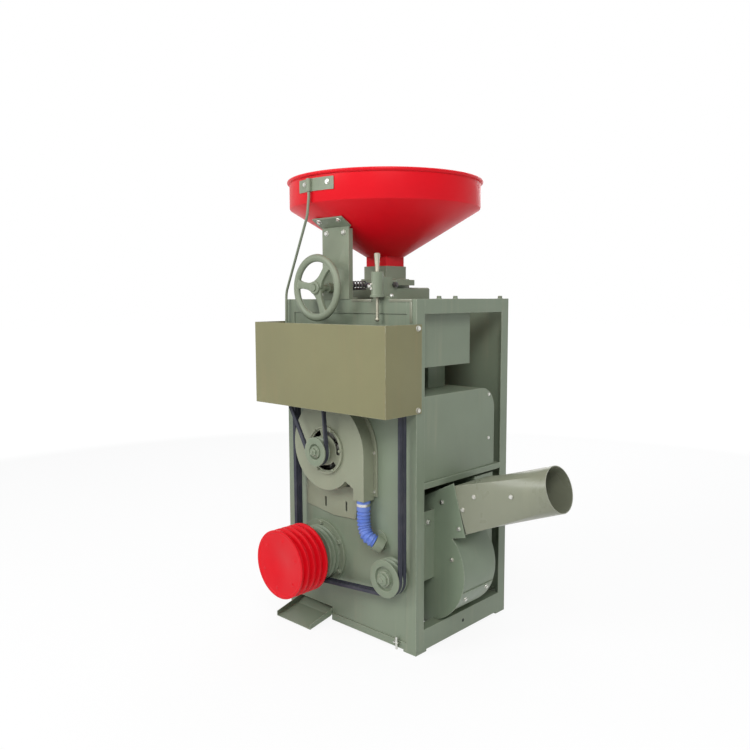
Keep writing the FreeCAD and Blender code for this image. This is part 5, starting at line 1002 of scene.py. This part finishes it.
SLOT_PLACES = (-0.065, 0.050)
SLOT_HALF_WIDE, SLOT_HALF_HIGH = 0.0047, 0.0197
slots = bmesh.new()
panel_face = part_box("front_panel")[0].y
slot_z = casing_low.z + 0.046
for dx in SLOT_PLACES:
    painted_shade_patch(slots, Vector((cover.x + dx, panel_face, slot_z)), (0, -1, 0), SLOT_HALF_WIDE,
              SLOT_HALF_HIGH)
piece(slots, "blower_foot_slot_shade", "cabinet", "frame_paint", material="painted_shade_black")
base_hole = bmesh.new()
painted_shade_patch(base_hole, Vector((rail_high.x, -0.001, 0.046)), (1, 0, 0), 0.0065, 0.0066)
piece(base_hole, "base_rail_hole_shade", "cabinet", "frame_paint", material="painted_shade_black")

# %% [markdown]
# The fan's side plate, its clean-out patch, the husk duct and the separator are all joined with
# small zinc bolts.

# %% Bolts of the fan, the duct and the separator
SMALL = {"head": 0.0070, "height": 0.005, "washer": 0.0085}
PLATE_BOLTS = ((0.097, 0.258), (0.175, 0.173), (0.145, 0.051))    # from the axle
DUCT_BOLTS = ((0.084, 0.0066, 0.143), (0.040, 0.0006, 0.089), (0.231, 0.0166, 0.168))
axle = middle("fan_shaft")
plate_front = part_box("fan_front_plate")[0].y
bolt_set("fan_plate_bolts", "cabinet",
         [Vector((axle.x + dx, plate_front, axle.z + dz)) for dx, dz in PLATE_BOLTS], (0, -1, 0),
         **SMALL)
patch_out = Vector((0.88, 0.0, -0.47)).normalized()
bolt_set("patch_bolts", "cabinet",
         [Vector((axle.x + 0.166, -0.080, axle.z - 0.107)),
          Vector((axle.x + 0.175, 0.041, axle.z - 0.090))], patch_out, **SMALL)
duct_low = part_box("fan_duct")[0]
bolt_set("duct_bolts", "cabinet",
         [duct_low + Vector(offset) for offset in DUCT_BOLTS], (0.06, -0.99, 0.07), **SMALL)
bracket_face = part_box("fan_bracket")[1]
bolt_set("fan_bracket_bolt", "cabinet",
         [Vector((bracket_face.x, -0.170, bracket_face.z - 0.042))], (1, 0, 0))
separator_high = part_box("separator_housing")[1]
bolt_set("separator_rivets", "cabinet",
         [separator_high - Vector((0, 0.040, down)) for down in (0.028, 0.200)], (1, 0, 0),
         head=0.0055, height=0.003, washer=0.0070)

# %% [markdown]
# A band of sheet holds the hose's upper cuff on the blower's outlet.

# %% Hose clamp
CLAMP_R = HOSE_R + 0.0012
CLAMP_BORE = HOSE_R - 0.0004
CLAMP_HALF = 0.005
clamp_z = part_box("air_hose")[1].z - 0.016
section = [(CLAMP_BORE, clamp_z - CLAMP_HALF), (CLAMP_R, clamp_z - CLAMP_HALF),
           (CLAMP_R + 0.0006, clamp_z), (CLAMP_R, clamp_z + CLAMP_HALF),
           (CLAMP_BORE, clamp_z + CLAMP_HALF)]
clamp = turned(section, Vector((top_x, top_y, clamp_z)), "Z", steps=64)
piece(clamp, "hose_clamp", "cabinet", "bare_steel", material="zinc")

# %% [markdown]
# ## Nuts on the shaft ends
# A pulley is kept on its shaft by a nut and a washer. They are visible in the middle of the fan
# pulley and the blower pulley, and they turn with the shaft.


# %% Nuts on the shaft ends
def end_nut(node, shaft_r, body):
    """A washer and a nut over the end of a shaft that points forward."""
    low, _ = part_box(node)
    centre = middle(node)
    bm = bmesh.new()
    seat = Vector((centre.x, low.y + 0.0055, centre.z))
    tip = Vector((centre.x, low.y - 0.0085, centre.z))
    add_bolt(bm, seat, (0, -1, 0), head=shaft_r * 1.55, height=0.010, washer=shaft_r * 1.9)
    bmesh.ops.create_cone(bm, cap_ends=True, segments=24, radius1=shaft_r * 0.62,
                          radius2=shaft_r * 0.55, depth=0.006, matrix=facing(tip, (0, -1, 0)))
    return piece(bm, node + "_nut", body, "pulley_paint")


end_nut("fan_shaft", 0.015, "fan_rotor")
end_nut("blower_shaft", 0.010, "blower_rotor")
